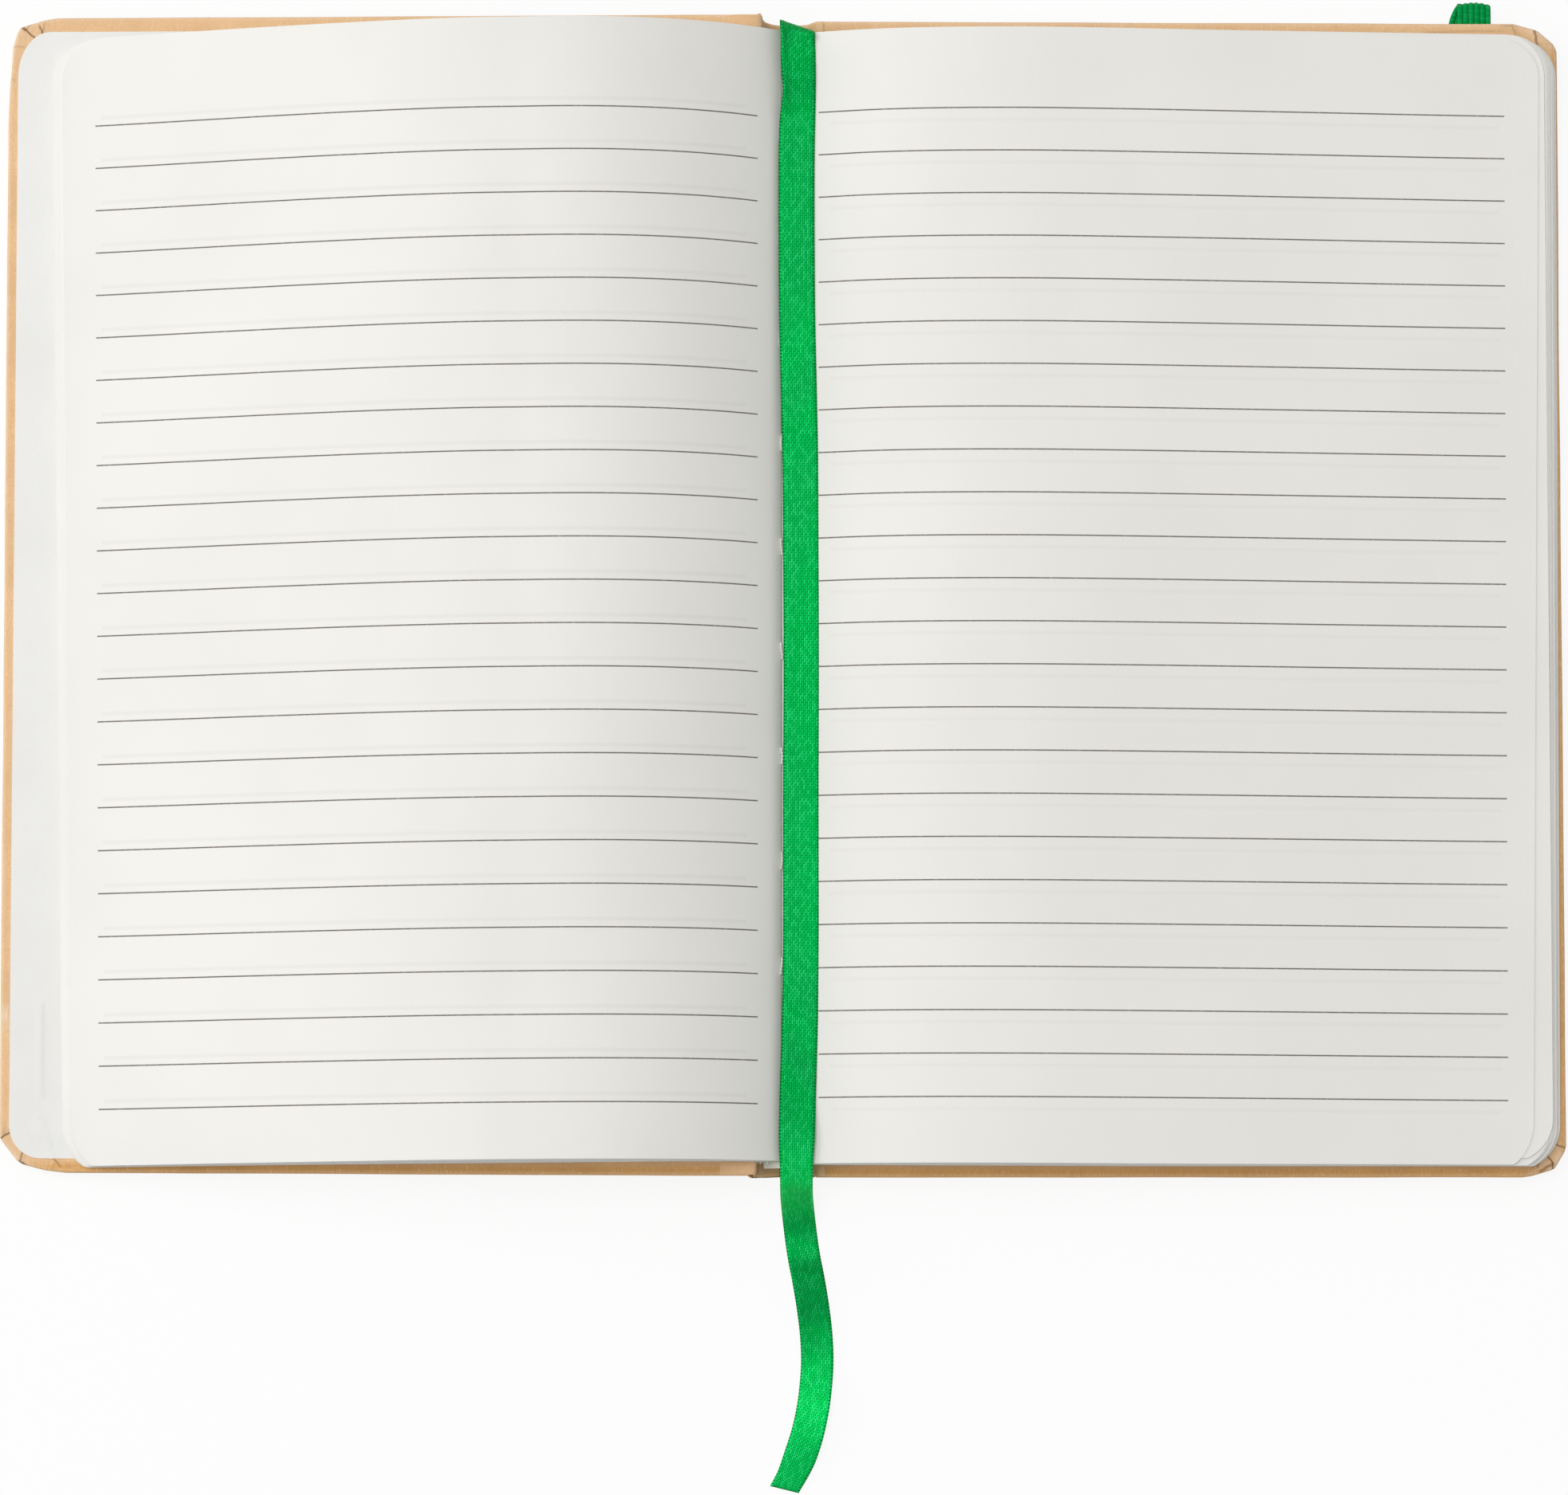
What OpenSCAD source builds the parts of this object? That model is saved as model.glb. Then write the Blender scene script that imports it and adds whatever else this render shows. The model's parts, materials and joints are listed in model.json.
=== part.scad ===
// Hardcover notebook lying open: paper-covered boards, a sewn block of ruled leaves,
// a ribbon marker and an elastic closing band. Millimetres, +Z up, table at z = 0.
// The origin is on the table under the middle of the spine, +Y points at the head.

/* [Cover] */
// Height of the covers, head to tail
cover_h = 210; // [180:1:240]
// Width of each cover, joint to outer edge
cover_w = 134.8; // [134:0.1:150]
// Thickness of the boards
board_t = 2; // [1.5:0.1:3]
// Thickness of the covering paper
paper_t = 0.2; // [0.15:0.05:0.3]
// Radius that the folded outer corners stay inside
cover_corner_r = 8; // [4:0.5:12]
// How far the covering paper turns in over the inside of a board
turn_in = 14; // [12:1:20]
// How far the front cover's outer edge sits out of square, toward the head
front_out_of_square = 1; // [0:0.1:1.5]
// Thickness of a pastedown, the sheet glued inside a cover
pastedown_t = 0.15; // [0.1:0.05:0.3]
// Kraft border left outside a pastedown at the outer edge
pastedown_margin = 1.8; // [1:0.1:4]

/* [Spine] */
// Distance from the middle of the spine to each joint
joint_x = 6.1; // [6:0.1:9]
// Height that the arched leaves lift the front cover's joint to
front_joint_z = 9.6; // [6:0.1:12]
// Thickness of the card strip in the spine
strip_t = 0.8; // [0.5:0.1:1.5]
// Gap between the card strip and the spine's side walls
strip_gap = 0.5; // [0.3:0.1:1]
// Running gap between a cover and the spine's wall, below the joint
joint_gap = 0.3; // [0.2:0.05:0.5]

/* [Leaves] */
// Height of the leaves
page_h = 204.6; // [170:0.1:206]
// How far the leaves sit toward the head from the middle of the covers
page_shift = -0.5; // [-1.5:0.1:1.5]
// Radius of the leaves' outer corners
page_corner_r = 7.5; // [3:0.5:12]
// Height of the gutter, where the two halves meet
gutter_z = 10; // [9:0.1:12]
// Height of the folded backs of the outermost leaves
back_z = 8.2; // [6:0.1:8.6]
// Distance from the gutter to the folded back of the outermost leaf
fold_x = 4.8; // [4:0.1:5.5]
// Reach of the lowest left leaf from the gutter
left_reach = 131; // [120:0.5:133]
// How far the top left leaf falls short of the lowest one
left_fan = 2.3; // [0:0.1:5]
// Thickness of the left leaves at their outer edge
left_stack = 3.8; // [2:0.1:6]
// Turn of the left leaves in plan, in degrees
left_lean = 0.7; // [0:0.1:0.9]
// Distance from the gutter to the top of the left leaves' arch
left_crest_x = 48; // [40:1:56]
// Height of the top of the left leaves' arch
left_crest_z = 25.8; // [20:0.1:28]
// Reach of the lowest right leaf from the gutter
right_reach = 140; // [125:0.5:140.5]
// How far the top right leaf falls short of the lowest one
right_fan = 4.2; // [0:0.1:6]
// Thickness of the right leaves at their outer edge
right_stack = 4.8; // [3:0.1:7]
// Turn of the right leaves in plan, in degrees
right_lean = 0.3; // [0:0.1:0.5]
// Distance from the gutter to the top of the right leaves' arch
right_crest_x = 44; // [38:1:55]
// Height of the top of the right leaves' arch
right_crest_z = 17.7; // [14:0.1:22]

/* [Sewing] */
// Gap between the leaves' backs and the lining glued along them
lining_gap = 0.2; // [0.1:0.05:0.3]
// Thickness of the lining
lining_t = 0.4; // [0.3:0.1:0.8]
// How far the frayed lining runs past the leaves at the tail
lining_past = 0.8; // [0:0.1:1.5]
// Diameter of the sewing thread
thread_d = 0.5; // [0.4:0.1:0.8]
// Number of stitches that show in the gutter
stitch_count = 9; // [5:1:10]
// Distance from one stitch to the next
stitch_pitch = 18.9; // [15:0.1:20]
// Length of each stitch
stitch_l = 3; // [2:0.5:6]
// Middle of the lowest stitch, from the middle of the covers
stitch_start = -67.4; // [-85:0.1:-60]

/* [Elastic band] */
// Width of the elastic band
band_w = 6.2; // [5:0.1:8]
// Thickness of the elastic band
band_t = 1.15; // [0.8:0.05:1.3]
// Gap between the band's two layers
band_gap = 0.1; // [0.05:0.05:0.3]
// Number of rubber threads in the band
rib_count = 6; // [4:1:8]
// Width of the groove between two threads
rib_groove = 0.12; // [0.05:0.01:0.3]
// Depth of the grooves
rib_depth = 0.1; // [0.05:0.05:0.2]
// Distance from the back cover's outer edge to the middle of the band
band_inset = 14.8; // [12:0.1:20]
// How far the band loops past the cover at the head
band_past = 4.1; // [2:0.1:8]
// How far the band's loop stays short of the cover's edge at the tail
band_short = 2; // [1:0.1:4]
// Distance from the cover's edge to the slot that holds the band's end
slot_inset = 12; // [10:0.5:13]
// Clearance round the band in its slot
slot_gap = 0.2; // [0.1:0.05:0.4]

/* [Ribbon marker] */
// Width of the ribbon
ribbon_w = 6.6; // [5:0.1:8]
// Thickness of the ribbon
ribbon_t = 0.4; // [0.3:0.05:0.5]

/* [Hidden] */

gather_count = 3;
arch_steps = 14;
left_rise = [[0.41, 1.28], [0.92, 1]];
left_fall = [[0.35, 1], [1, -0.35]];
right_rise = [[0.22, 0.01], [0.28, 1]];
right_fall = [[0.21, 1], [0.94, -0.28]];
cut = 1;
cover_t = paper_t + board_t + paper_t + pastedown_t;
back_joint_z = 2 * band_t + band_gap;
front_slope = asin(front_joint_z / cover_w);
// The covering paper's corners are folded flat in three facets.
corner_facets = 3;
// Where the lowest leaf meets its cover: at the board's end on the raised left side,
// after a short slope down on the right.
left_land_x = joint_x - cover_t * sin(front_slope) - 0.02;
right_land_x = 13;
land_step = 2;
gutter_gap = 0.2;
page_over = 4;
lining_reach = joint_x - cover_t - 0.35;
thread_z = gutter_z + thread_d;

// The ribbon's middle line: up out of the hollow behind the leaves, over their head edge,
// down the gutter, off the tail edge and across the table.
ribbon_route = [
    [2.8, 90, 6], [2.8, 99, 6], [2.8, 102.4, 6.4], [2.8, 103.4, 7.6], [2.8, 103.6, 9.6],
    [2.8, 103.2, 11.4], [2.8, 101.6, 12.2], [2.9, 98, 12.2], [2.9, 90, 11.9], [2.7, 78, 11.8],
    [2.7, 64, 11.8], [2.8, 50, 11.8], [2.9, 36, 11.8], [3.1, 22, 11.8], [3.2, 8, 11.8],
    [3.3, -6, 11.8], [3.4, -20, 11.8], [3.4, -34, 11.8], [3.5, -48, 11.8], [3.5, -62, 11.8],
    [3.4, -76, 11.8], [3.2, -90, 11.9], [3, -99, 12], [2.8, -103.6, 11.5], [2.7, -106.4, 9.8],
    [2.7, -108.4, 7], [2.9, -110.6, 3.8], [3.2, -113.2, 1.6], [3.6, -116.4, 0.6],
    [4.1, -119.6, 0.9], [4.8, -123.2, 1.8], [5.6, -128, 1.7], [6.1, -133, 0.7], [6.2, -138, 0.3],
    [6, -142.6, 0.5], [5.5, -147, 1.1], [4.3, -152, 1.1], [2.5, -157.2, 0.4], [0.7, -160.8, 0.25]
];

function mix(a, b, t) = a + (b - a) * t;
function bezier(p, t) =
    pow(1 - t, 3) * p[0] + 3 * t * pow(1 - t, 2) * p[1] + 3 * t * t * (1 - t) * p[2] + t * t * t * p[3];
function unit(v) = v / norm(v);

// Height of a cover's inner face over the table, at distance x from the gutter.
function face_z(x, joint_z, slope) = joint_z + cover_t / cos(slope) - (x - joint_x) * tan(slope);

// The lower face of a half of the leaves: from their folded backs to the cover, which they meet
// at land_x, then along it. It has one point for each point of the top face.
function under_line(tops, reach, land_x, joint_z, slope) =
    [for (i = [0:len(tops) - 1])
        let (x = mix(land_x, reach, max(0, tops[i].x - tops[land_step].x) / (reach - tops[land_step].x)))
        mix([fold_x, back_z], [x, face_z(x, joint_z, slope)], min(1, i / land_step))];

// The top face of a half: a rise from the gutter to the crest, then a long fall to the outer edge.
// Each curve has two handles, given as shares of its run and of its height.
function rise_line(crest_x, crest_z, handles) =
    [for (i = [0:arch_steps - 1])
        bezier([[0, gutter_z], [crest_x * handles[0].x, mix(gutter_z, crest_z, handles[0].y)],
                [crest_x * handles[1].x, mix(gutter_z, crest_z, handles[1].y)], [crest_x, crest_z]],
               i / arch_steps)];
function fall_line(crest_x, crest_z, reach, edge_z, handles) =
    [for (i = [0:arch_steps])
        bezier([[crest_x, crest_z], [mix(crest_x, reach, handles[0].x), mix(edge_z, crest_z, handles[0].y)],
                [mix(crest_x, reach, handles[1].x), mix(edge_z, crest_z, handles[1].y)], [reach, edge_z]],
               i / arch_steps)];

left_end = left_reach + page_over;
left_top = concat(rise_line(left_crest_x, left_crest_z, left_rise),
                  fall_line(left_crest_x, left_crest_z, left_end,
                            face_z(left_end, front_joint_z, front_slope) + left_stack, left_fall));
left_under = under_line(left_top, left_end, left_land_x, front_joint_z, front_slope);
right_end = right_reach + page_over;
right_top = concat(rise_line(right_crest_x, right_crest_z, right_rise),
                   fall_line(right_crest_x, right_crest_z, right_end,
                             face_z(right_end, back_joint_z, 0) + right_stack, right_fall));
right_under = under_line(right_top, right_end, right_land_x, back_joint_z, 0);

// Outline of a cover from its joint to its outer edge, drawn inside by inset.
function corner_points(cx, cy, r, start) =
    [for (i = [0:corner_facets])
        [cx + r * cos(start + 90 * i / corner_facets), cy + r * sin(start + 90 * i / corner_facets)]];
function cover_outline(inset, lift, joint_end) =
    let (r = max(cover_corner_r - inset, 0.5), cx = cover_w - inset - r, cy = cover_h / 2 - inset - r,
         flat = concat([[joint_end, -cover_h / 2 + inset]], corner_points(cx, -cy, r, -90),
                       corner_points(cx, cy, r, 0), [[joint_end, cover_h / 2 - inset]]))
    [for (p = flat) [p.x, p.y + lift * p.x / cover_w]];

module leaf_plan(reach) {
    translate([0, page_shift - page_h / 2]) {
        square([reach - page_corner_r, page_h]);
        translate([0, page_corner_r]) square([reach, page_h - 2 * page_corner_r]);
        for (y = [page_corner_r, page_h - page_corner_r])
            translate([reach - page_corner_r, y]) circle(page_corner_r, $fn = 48);
    }
}

// One gathering: the share of the half from low to high, cut to the leaves' outline.
module gather(tops, unders, low, high, reach, lean) {
    lower = [for (i = [0:len(tops) - 1]) mix(unders[i], tops[i], low)];
    upper = [for (i = [len(tops) - 1:-1:0]) mix(unders[i], tops[i], high)];
    intersection() {
        rotate([90, 0, 0]) linear_extrude(page_h + 4 * page_over, center = true) polygon(concat(lower, upper));
        translate([0, page_shift, 0]) rotate(-lean) translate([-page_over, -page_shift, 0])
            linear_extrude(4 * gutter_z) leaf_plan(reach + page_over);
        translate([gutter_gap / 2, -cover_h, 0]) cube([2 * cover_w, 2 * cover_h, 4 * gutter_z]);
    }
}

// The parts of one cover lie from the joint along +X, with the outer face at z = 0.
module cover_board(lift) {
    translate([0, 0, paper_t]) linear_extrude(board_t) polygon(cover_outline(paper_t, lift, 0));
}

module cover_paper(lift) {
    difference() {
        linear_extrude(board_t + 2 * paper_t) polygon(cover_outline(0, lift, 0));
        translate([0, 0, paper_t]) linear_extrude(board_t) polygon(cover_outline(paper_t, lift, -cut));
        translate([0, 0, paper_t + board_t]) linear_extrude(cut) polygon(cover_outline(turn_in, lift, -cut));
    }
}

module cover_pastedown(lift) {
    translate([0, 0, board_t + 2 * paper_t]) linear_extrude(pastedown_t) leaf_plan(cover_w - pastedown_margin);
    translate([0, 0, board_t + paper_t]) linear_extrude(paper_t) polygon(cover_outline(turn_in, lift, 0));
}

module at_front() {
    translate([-joint_x, 0, front_joint_z]) rotate([0, -front_slope, 0]) mirror([1, 0, 0]) children();
}

module at_back() {
    translate([joint_x, 0, back_joint_z]) children();
}

// The band's path seen from the outer edge: y runs across, z up, and inset thins it.
module band_profile(inset) {
    end_r = back_joint_z / 2;
    ends = [band_short - cover_h / 2 + end_r, cover_h / 2 + band_past - end_r];
    difference() {
        union() {
            translate([ends[0], inset]) square([ends[1] - ends[0], back_joint_z - 2 * inset]);
            for (y = ends) translate([y, end_r]) circle(end_r - inset, $fn = 32);
        }
        for (y = ends) translate([y, end_r]) circle(band_gap / 2 + inset, $fn = 32);
        translate([ends[0], end_r - band_gap / 2 - inset]) square([ends[1] - ends[0], band_gap + 2 * inset]);
        translate([slot_inset - cover_h / 2 + band_t, end_r])
            square([cover_h - 2 * slot_inset - 2 * band_t, end_r]);
    }
    for (side = [-1, 1])
        translate([side * (cover_h / 2 - slot_inset - band_t / 2) - band_t / 2 + inset, end_r + band_gap / 2 + inset])
            square([band_t - 2 * inset, end_r - band_gap / 2 - inset + paper_t + board_t]);
}

module band_slots(past) {
    for (side = [-1, 1])
        translate([cover_w - band_inset - band_w / 2 - past,
                   side * (cover_h / 2 - slot_inset - band_t / 2) - band_t / 2 - past, -cut])
            cube([band_w + 2 * past, band_t + 2 * past, cut + paper_t + board_t]);
}

module back_board() {
    color("#b9a68c") difference() {
        at_back() cover_board(0);
        at_back() band_slots(slot_gap);
    }
}

module back_cover_paper() {
    color("#b98a57") difference() {
        at_back() cover_paper(0);
        at_back() band_slots(slot_gap);
    }
}

module back_pastedown() {
    color("#e6e6e2") at_back() cover_pastedown(0);
}

module right_gather(k) {
    color("#e5e5e0")
        gather(right_top, right_under, (k - 1) / gather_count, k / gather_count,
               right_reach - right_fan * (k - 1) / (gather_count - 1), right_lean);
}

module elastic_band() {
    rib_w = (band_w - (rib_count - 1) * rib_groove) / rib_count;
    color("#009640") translate([joint_x + cover_w - band_inset - band_w / 2, 0, 0]) {
        translate([rib_w / 2, 0, 0]) rotate([90, 0, 90]) linear_extrude(band_w - rib_w) band_profile(rib_depth);
        for (i = [0:rib_count - 1])
            translate([i * (rib_w + rib_groove), 0, 0]) rotate([90, 0, 90]) linear_extrude(rib_w) band_profile(0);
    }
}

module spine_paper() {
    front_wall = front_joint_z - joint_gap;
    back_wall = back_joint_z - joint_gap;
    color("#8d6a42") rotate([90, 0, 0]) linear_extrude(cover_h, center = true) {
        translate([-joint_x, 0]) square([2 * joint_x, paper_t]);
        translate([-joint_x, 0]) square([paper_t, front_wall]);
        translate([joint_x - paper_t, 0]) square([paper_t, back_wall]);
    }
}

module spine_strip() {
    half = joint_x - paper_t - strip_gap;
    color("#b9a68c") translate([-half, paper_t - cover_h / 2, paper_t])
        cube([2 * half, cover_h - 2 * paper_t, strip_t]);
}

// The lining follows the roof shape that the leaves' folded backs make when the block is open.
module back_lining() {
    side_z = mix(gutter_z, back_z, lining_reach / fold_x) - lining_gap;
    top_z = gutter_z - lining_gap;
    color("#efefec") translate([0, page_shift + page_h / 2 - 1, 0]) rotate([90, 0, 0])
        linear_extrude(page_h - 1 + lining_past)
            polygon([[-lining_reach, side_z], [0, top_z], [lining_reach, side_z],
                     [lining_reach, side_z - lining_t], [0, top_z - lining_t], [-lining_reach, side_z - lining_t]]);
}

module sewing_thread() {
    color("#f4f4f0") for (i = [0:stitch_count - 1])
        translate([0, stitch_start + i * stitch_pitch + stitch_l / 2, thread_z])
            rotate([90, 0, 0]) cylinder(h = stitch_l, d = thread_d, $fn = 24);
}

// The ribbon is one flat tube with eight sides and a ring at each point of its route.
module ribbon_marker() {
    sides = 8;
    last = len(ribbon_route) - 1;
    rings = [for (i = [0:last])
        let (ahead = unit(ribbon_route[min(i + 1, last)] - ribbon_route[max(i - 1, 0)]),
             across = unit([1, 0, 0] - ahead * ahead.x), up = cross(ahead, across))
        [for (j = [0:sides - 1])
            let (a = 360 * (j + 0.5) / sides, bulge = 1 / cos(180 / sides))
            ribbon_route[i] + across * min(1, max(-1, cos(a) * 1.6 * bulge)) * ribbon_w / 2
                + up * sin(a) * bulge * ribbon_t / 2]];
    points = [for (ring = rings) each ring];
    walls = [for (i = [0:last - 1], j = [0:sides - 1])
        let (a = i * sides + j, b = i * sides + (j + 1) % sides)
        each [[a, a + sides, b + sides], [a, b + sides, b]]];
    ends = [[for (j = [0:sides - 1]) j], [for (j = [sides - 1:-1:0]) last * sides + j]];
    color("#00aa4b") polyhedron(points, concat(walls, ends));
}

module front_board() {
    color("#b9a68c") at_front() cover_board(front_out_of_square);
}

module front_cover_paper() {
    color("#dda877") at_front() cover_paper(front_out_of_square);
}

module front_pastedown() {
    color("#ececea") at_front() cover_pastedown(front_out_of_square);
}

module left_gather(k) {
    color("#f1f0eb") mirror([1, 0, 0])
        gather(left_top, left_under, (k - 1) / gather_count, k / gather_count,
               left_reach - left_fan * (k - 1) / (gather_count - 1), left_lean);
}

back_board();
back_cover_paper();
back_pastedown();
right_gather(1);  // right_gather_1
right_gather(2);  // right_gather_2
right_gather(3);  // right_gather_3
elastic_band();
spine_paper();
spine_strip();
back_lining();
sewing_thread();
ribbon_marker();
front_board();
front_cover_paper();
front_pastedown();
left_gather(1);  // left_gather_1
left_gather(2);  // left_gather_2
left_gather(3);  // left_gather_3
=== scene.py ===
import json
import math
import bpy
import numpy as np
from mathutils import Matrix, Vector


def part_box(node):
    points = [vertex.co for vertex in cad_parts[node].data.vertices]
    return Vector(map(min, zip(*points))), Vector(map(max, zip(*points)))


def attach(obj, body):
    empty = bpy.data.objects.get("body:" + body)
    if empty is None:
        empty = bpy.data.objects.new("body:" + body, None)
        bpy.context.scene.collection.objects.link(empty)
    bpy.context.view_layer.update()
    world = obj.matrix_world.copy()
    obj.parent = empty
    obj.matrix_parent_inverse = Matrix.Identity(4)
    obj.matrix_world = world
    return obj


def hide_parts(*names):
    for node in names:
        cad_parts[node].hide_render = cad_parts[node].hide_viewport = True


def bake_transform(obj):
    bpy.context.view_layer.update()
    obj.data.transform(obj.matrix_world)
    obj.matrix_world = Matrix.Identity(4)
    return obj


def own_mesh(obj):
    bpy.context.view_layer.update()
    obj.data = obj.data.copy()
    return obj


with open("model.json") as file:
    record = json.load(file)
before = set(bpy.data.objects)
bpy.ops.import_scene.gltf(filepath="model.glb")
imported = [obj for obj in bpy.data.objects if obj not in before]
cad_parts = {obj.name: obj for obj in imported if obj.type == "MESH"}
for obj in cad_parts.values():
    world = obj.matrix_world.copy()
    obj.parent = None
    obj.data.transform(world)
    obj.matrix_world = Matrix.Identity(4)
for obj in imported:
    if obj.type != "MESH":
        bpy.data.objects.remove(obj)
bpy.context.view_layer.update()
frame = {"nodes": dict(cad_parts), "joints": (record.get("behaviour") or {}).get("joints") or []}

mm = 0.001
rng = np.random.default_rng(7)

joints = {j["name"]: j for j in frame["joints"]}
backJoint = np.array(joints["spine_joint"]["pos_m"])
frontJoint = np.array(joints["front_joint"]["pos_m"])
coverLow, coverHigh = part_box("back_cover_paper")
coverWidth = coverHigh.x - backJoint[0]
coverHalf = coverHigh.y
wrapThick = coverHigh.z - coverLow.z          # board with covering paper on both faces
frontSlope = math.asin(frontJoint[2] / coverWidth)


# Placing and meshing
def smooth(x):
    # 0 to 1 with level ends: 3x^2 - 2x^3
    x = np.clip(x, 0, 1)
    return x * x * (3 - 2 * x)


def onBack(s, y, h):
    # s along the back cover from its joint, h up from its outer face
    return np.stack(np.broadcast_arrays(backJoint[0] + s, y, backJoint[2] + h), -1)


def onFront(s, y, h):
    # the same on the front cover, mirrored and tipped down by its slope
    x = frontJoint[0] - s * math.cos(frontSlope) - h * math.sin(frontSlope)
    z = frontJoint[2] - s * math.sin(frontSlope) + h * math.cos(frontSlope)
    return np.stack(np.broadcast_arrays(x, y, z), -1)


def ripple(x, y, size, seed, waves=6):
    # a soft uneven field from -1 to 1: the mean of a few sine waves in random directions
    pick = np.random.default_rng(seed)
    angle = pick.uniform(0, 2 * math.pi, waves)
    shift = pick.uniform(0, 2 * math.pi, waves)
    scale = pick.uniform(0.7, 1.5, waves) * 2 * math.pi / size
    x, y = np.broadcast_arrays(x, y)
    phase = x[..., None] * np.cos(angle) * scale + y[..., None] * np.sin(angle) * scale + shift
    return np.sin(phase).mean(-1)


def runLength(path):
    # distance along a line of points: the running sum of the lengths of its steps
    return np.concatenate([[0], np.cumsum(np.linalg.norm(np.diff(path, axis=0), axis=1))])


def unit(vectors):
    # each vector divided by its own length
    return vectors / np.linalg.norm(vectors, axis=-1, keepdims=True)


def bell(x, width):
    # 1 at 0, falling away on both sides: e^-(x / width)^2
    return np.exp(-(x / width) ** 2)


def gridFaces(rows, columns, start=0, wrap=False):
    # quads of a grid stored row by row; wrap joins the last column to the first
    i = np.arange(rows - 1)[:, None] * columns + start
    j = np.arange(columns if wrap else columns - 1)[None, :]
    k = (j + 1) % columns
    return np.stack([i + j, i + k, i + columns + k, i + columns + j], -1).reshape(-1, 4)


def shellVolume(points, faces):
    # the sum of origin-to-triangle volumes over a fan of each face; negative when faces point inwards
    total = 0.0
    for first, second in ((1, 2), (2, 3)):
        p, q, r = points[faces[:, 0]], points[faces[:, first]], points[faces[:, second]]
        total += np.einsum("ij,ij->i", p, np.cross(q, r)).sum()
    return total


def makeMesh(name, points, quads, materials, caps=(), uv=None, flat=None, slots=None, masks=None,
             closed=True, rim=None):
    # one object from arrays of quads and a few many-sided caps; a closed shell is turned to face outwards
    points = np.asarray(points, float).reshape(-1, 3)
    if closed and shellVolume(points - points.mean(0), quads) < 0:
        quads = quads[:, ::-1]
        caps = [cap[::-1] for cap in caps]
    sizes = np.concatenate([np.full(len(quads), 4), [len(cap) for cap in caps]]).astype(np.int32)
    loops = np.concatenate([quads.ravel(), *caps]).astype(np.int32)
    mesh = bpy.data.meshes.new(name)
    mesh.vertices.add(len(points))
    mesh.vertices.foreach_set("co", points.ravel())
    mesh.loops.add(len(loops))
    mesh.loops.foreach_set("vertex_index", loops)
    mesh.polygons.add(len(sizes))
    mesh.polygons.foreach_set("loop_start", np.concatenate([[0], np.cumsum(sizes)[:-1]]).astype(np.int32))
    soft = np.ones(len(sizes), bool)
    soft[len(quads):] = False
    if flat is not None:
        soft[:len(quads)] = ~flat
    mesh.polygons.foreach_set("use_smooth", soft)
    for material in materials:
        mesh.materials.append(material)
    if slots is not None:
        mesh.polygons.foreach_set("material_index", slots.astype(np.int32))
    if uv is not None:
        layer = mesh.uv_layers.new(name="UVMap")
        layer.uv.foreach_set("vector", np.asarray(uv, float).reshape(-1, 2)[loops].ravel())
    for key, values in (masks or {}).items():
        mask = mesh.attributes.new(key, "FLOAT", "POINT")
        mask.data.foreach_set("value", np.asarray(values, float).ravel())
    mesh.update(calc_edges=True)
    if rim is not None:                            # edges between two rim points stay sharp
        onRim = np.zeros(len(points), bool)
        onRim[rim] = True
        ends = np.empty(len(mesh.edges) * 2, np.int32)
        mesh.edges.foreach_get("vertices", ends)
        sharp = onRim[ends.reshape(-1, 2)].all(1)
        sharpEdge = mesh.attributes.new("sharp_edge", "BOOLEAN", "EDGE")
        sharpEdge.data.foreach_set("value", sharp)
    mesh.validate()
    piece = bpy.data.objects.new(name, mesh)
    bpy.context.scene.collection.objects.link(piece)
    return piece


def finishPiece(piece, body, nodes=()):
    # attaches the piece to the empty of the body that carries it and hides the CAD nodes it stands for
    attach(piece, body)
    if nodes:
        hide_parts(*nodes)
    return piece


def makeSlab(name, top, bottom, materials, uv=None, masks=None):
    # two grids of the same shape joined round their rims; the rim faces take the last material;
    # a mask is one field for both grids, or a pair of one value for each
    rows, columns = top.shape[:2]
    count = rows * columns
    upper = gridFaces(rows, columns)
    lower = gridFaces(rows, columns, count)[:, ::-1]
    ring = np.concatenate([np.arange(columns), np.arange(1, rows) * columns + columns - 1,
                           np.arange(columns - 2, -1, -1) + (rows - 1) * columns,
                           np.arange(rows - 2, 0, -1) * columns])
    after = np.roll(ring, -1)
    rim = np.stack([after, ring, ring + count, after + count], -1)
    faces = np.concatenate([upper, lower, rim])
    rimFaces = np.arange(len(faces)) >= len(upper) + len(lower)
    if uv is not None:
        uv = np.concatenate([uv.reshape(-1, 2)] * 2)
    both = {}
    for key, value in (masks or {}).items():
        pair = value if isinstance(value, tuple) else (value, value)
        both[key] = np.concatenate([np.broadcast_to(part, (rows, columns)).ravel() for part in pair])
    points = np.concatenate([top.reshape(-1, 3), bottom.reshape(-1, 3)])
    return makeMesh(name, points, faces, materials, uv=uv, flat=rimFaces, masks=both,
                    slots=rimFaces * (len(materials) - 1), rim=np.concatenate([ring, ring + count]))


def sweepTube(name, path, across, section, materials, reshape=None, masks=None):
    # a closed section (a, b) carried along a path: centre + side * a + up * b, with capped ends
    ahead = unit(np.gradient(path, axis=0))
    side = unit(across - ahead * (ahead * across).sum(1, keepdims=True))
    up = np.cross(ahead, side)
    section = section if section.ndim == 3 else section[None]
    a, b = section[..., 0], section[..., 1]
    points = path[:, None] + side[:, None] * a[..., None] + up[:, None] * b[..., None]
    if reshape is not None:
        points = reshape(points, path)
    stations, sides = points.shape[:2]
    along = runLength(path)
    uv = np.stack(np.broadcast_arrays(a + np.zeros((stations, 1)), along[:, None]), -1)
    caps = [np.arange(sides)[::-1], np.arange((stations - 1) * sides, stations * sides)]
    faces = gridFaces(stations, sides, wrap=True)
    return makeMesh(name, points, faces, materials, caps, uv=uv, masks=masks)


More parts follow.
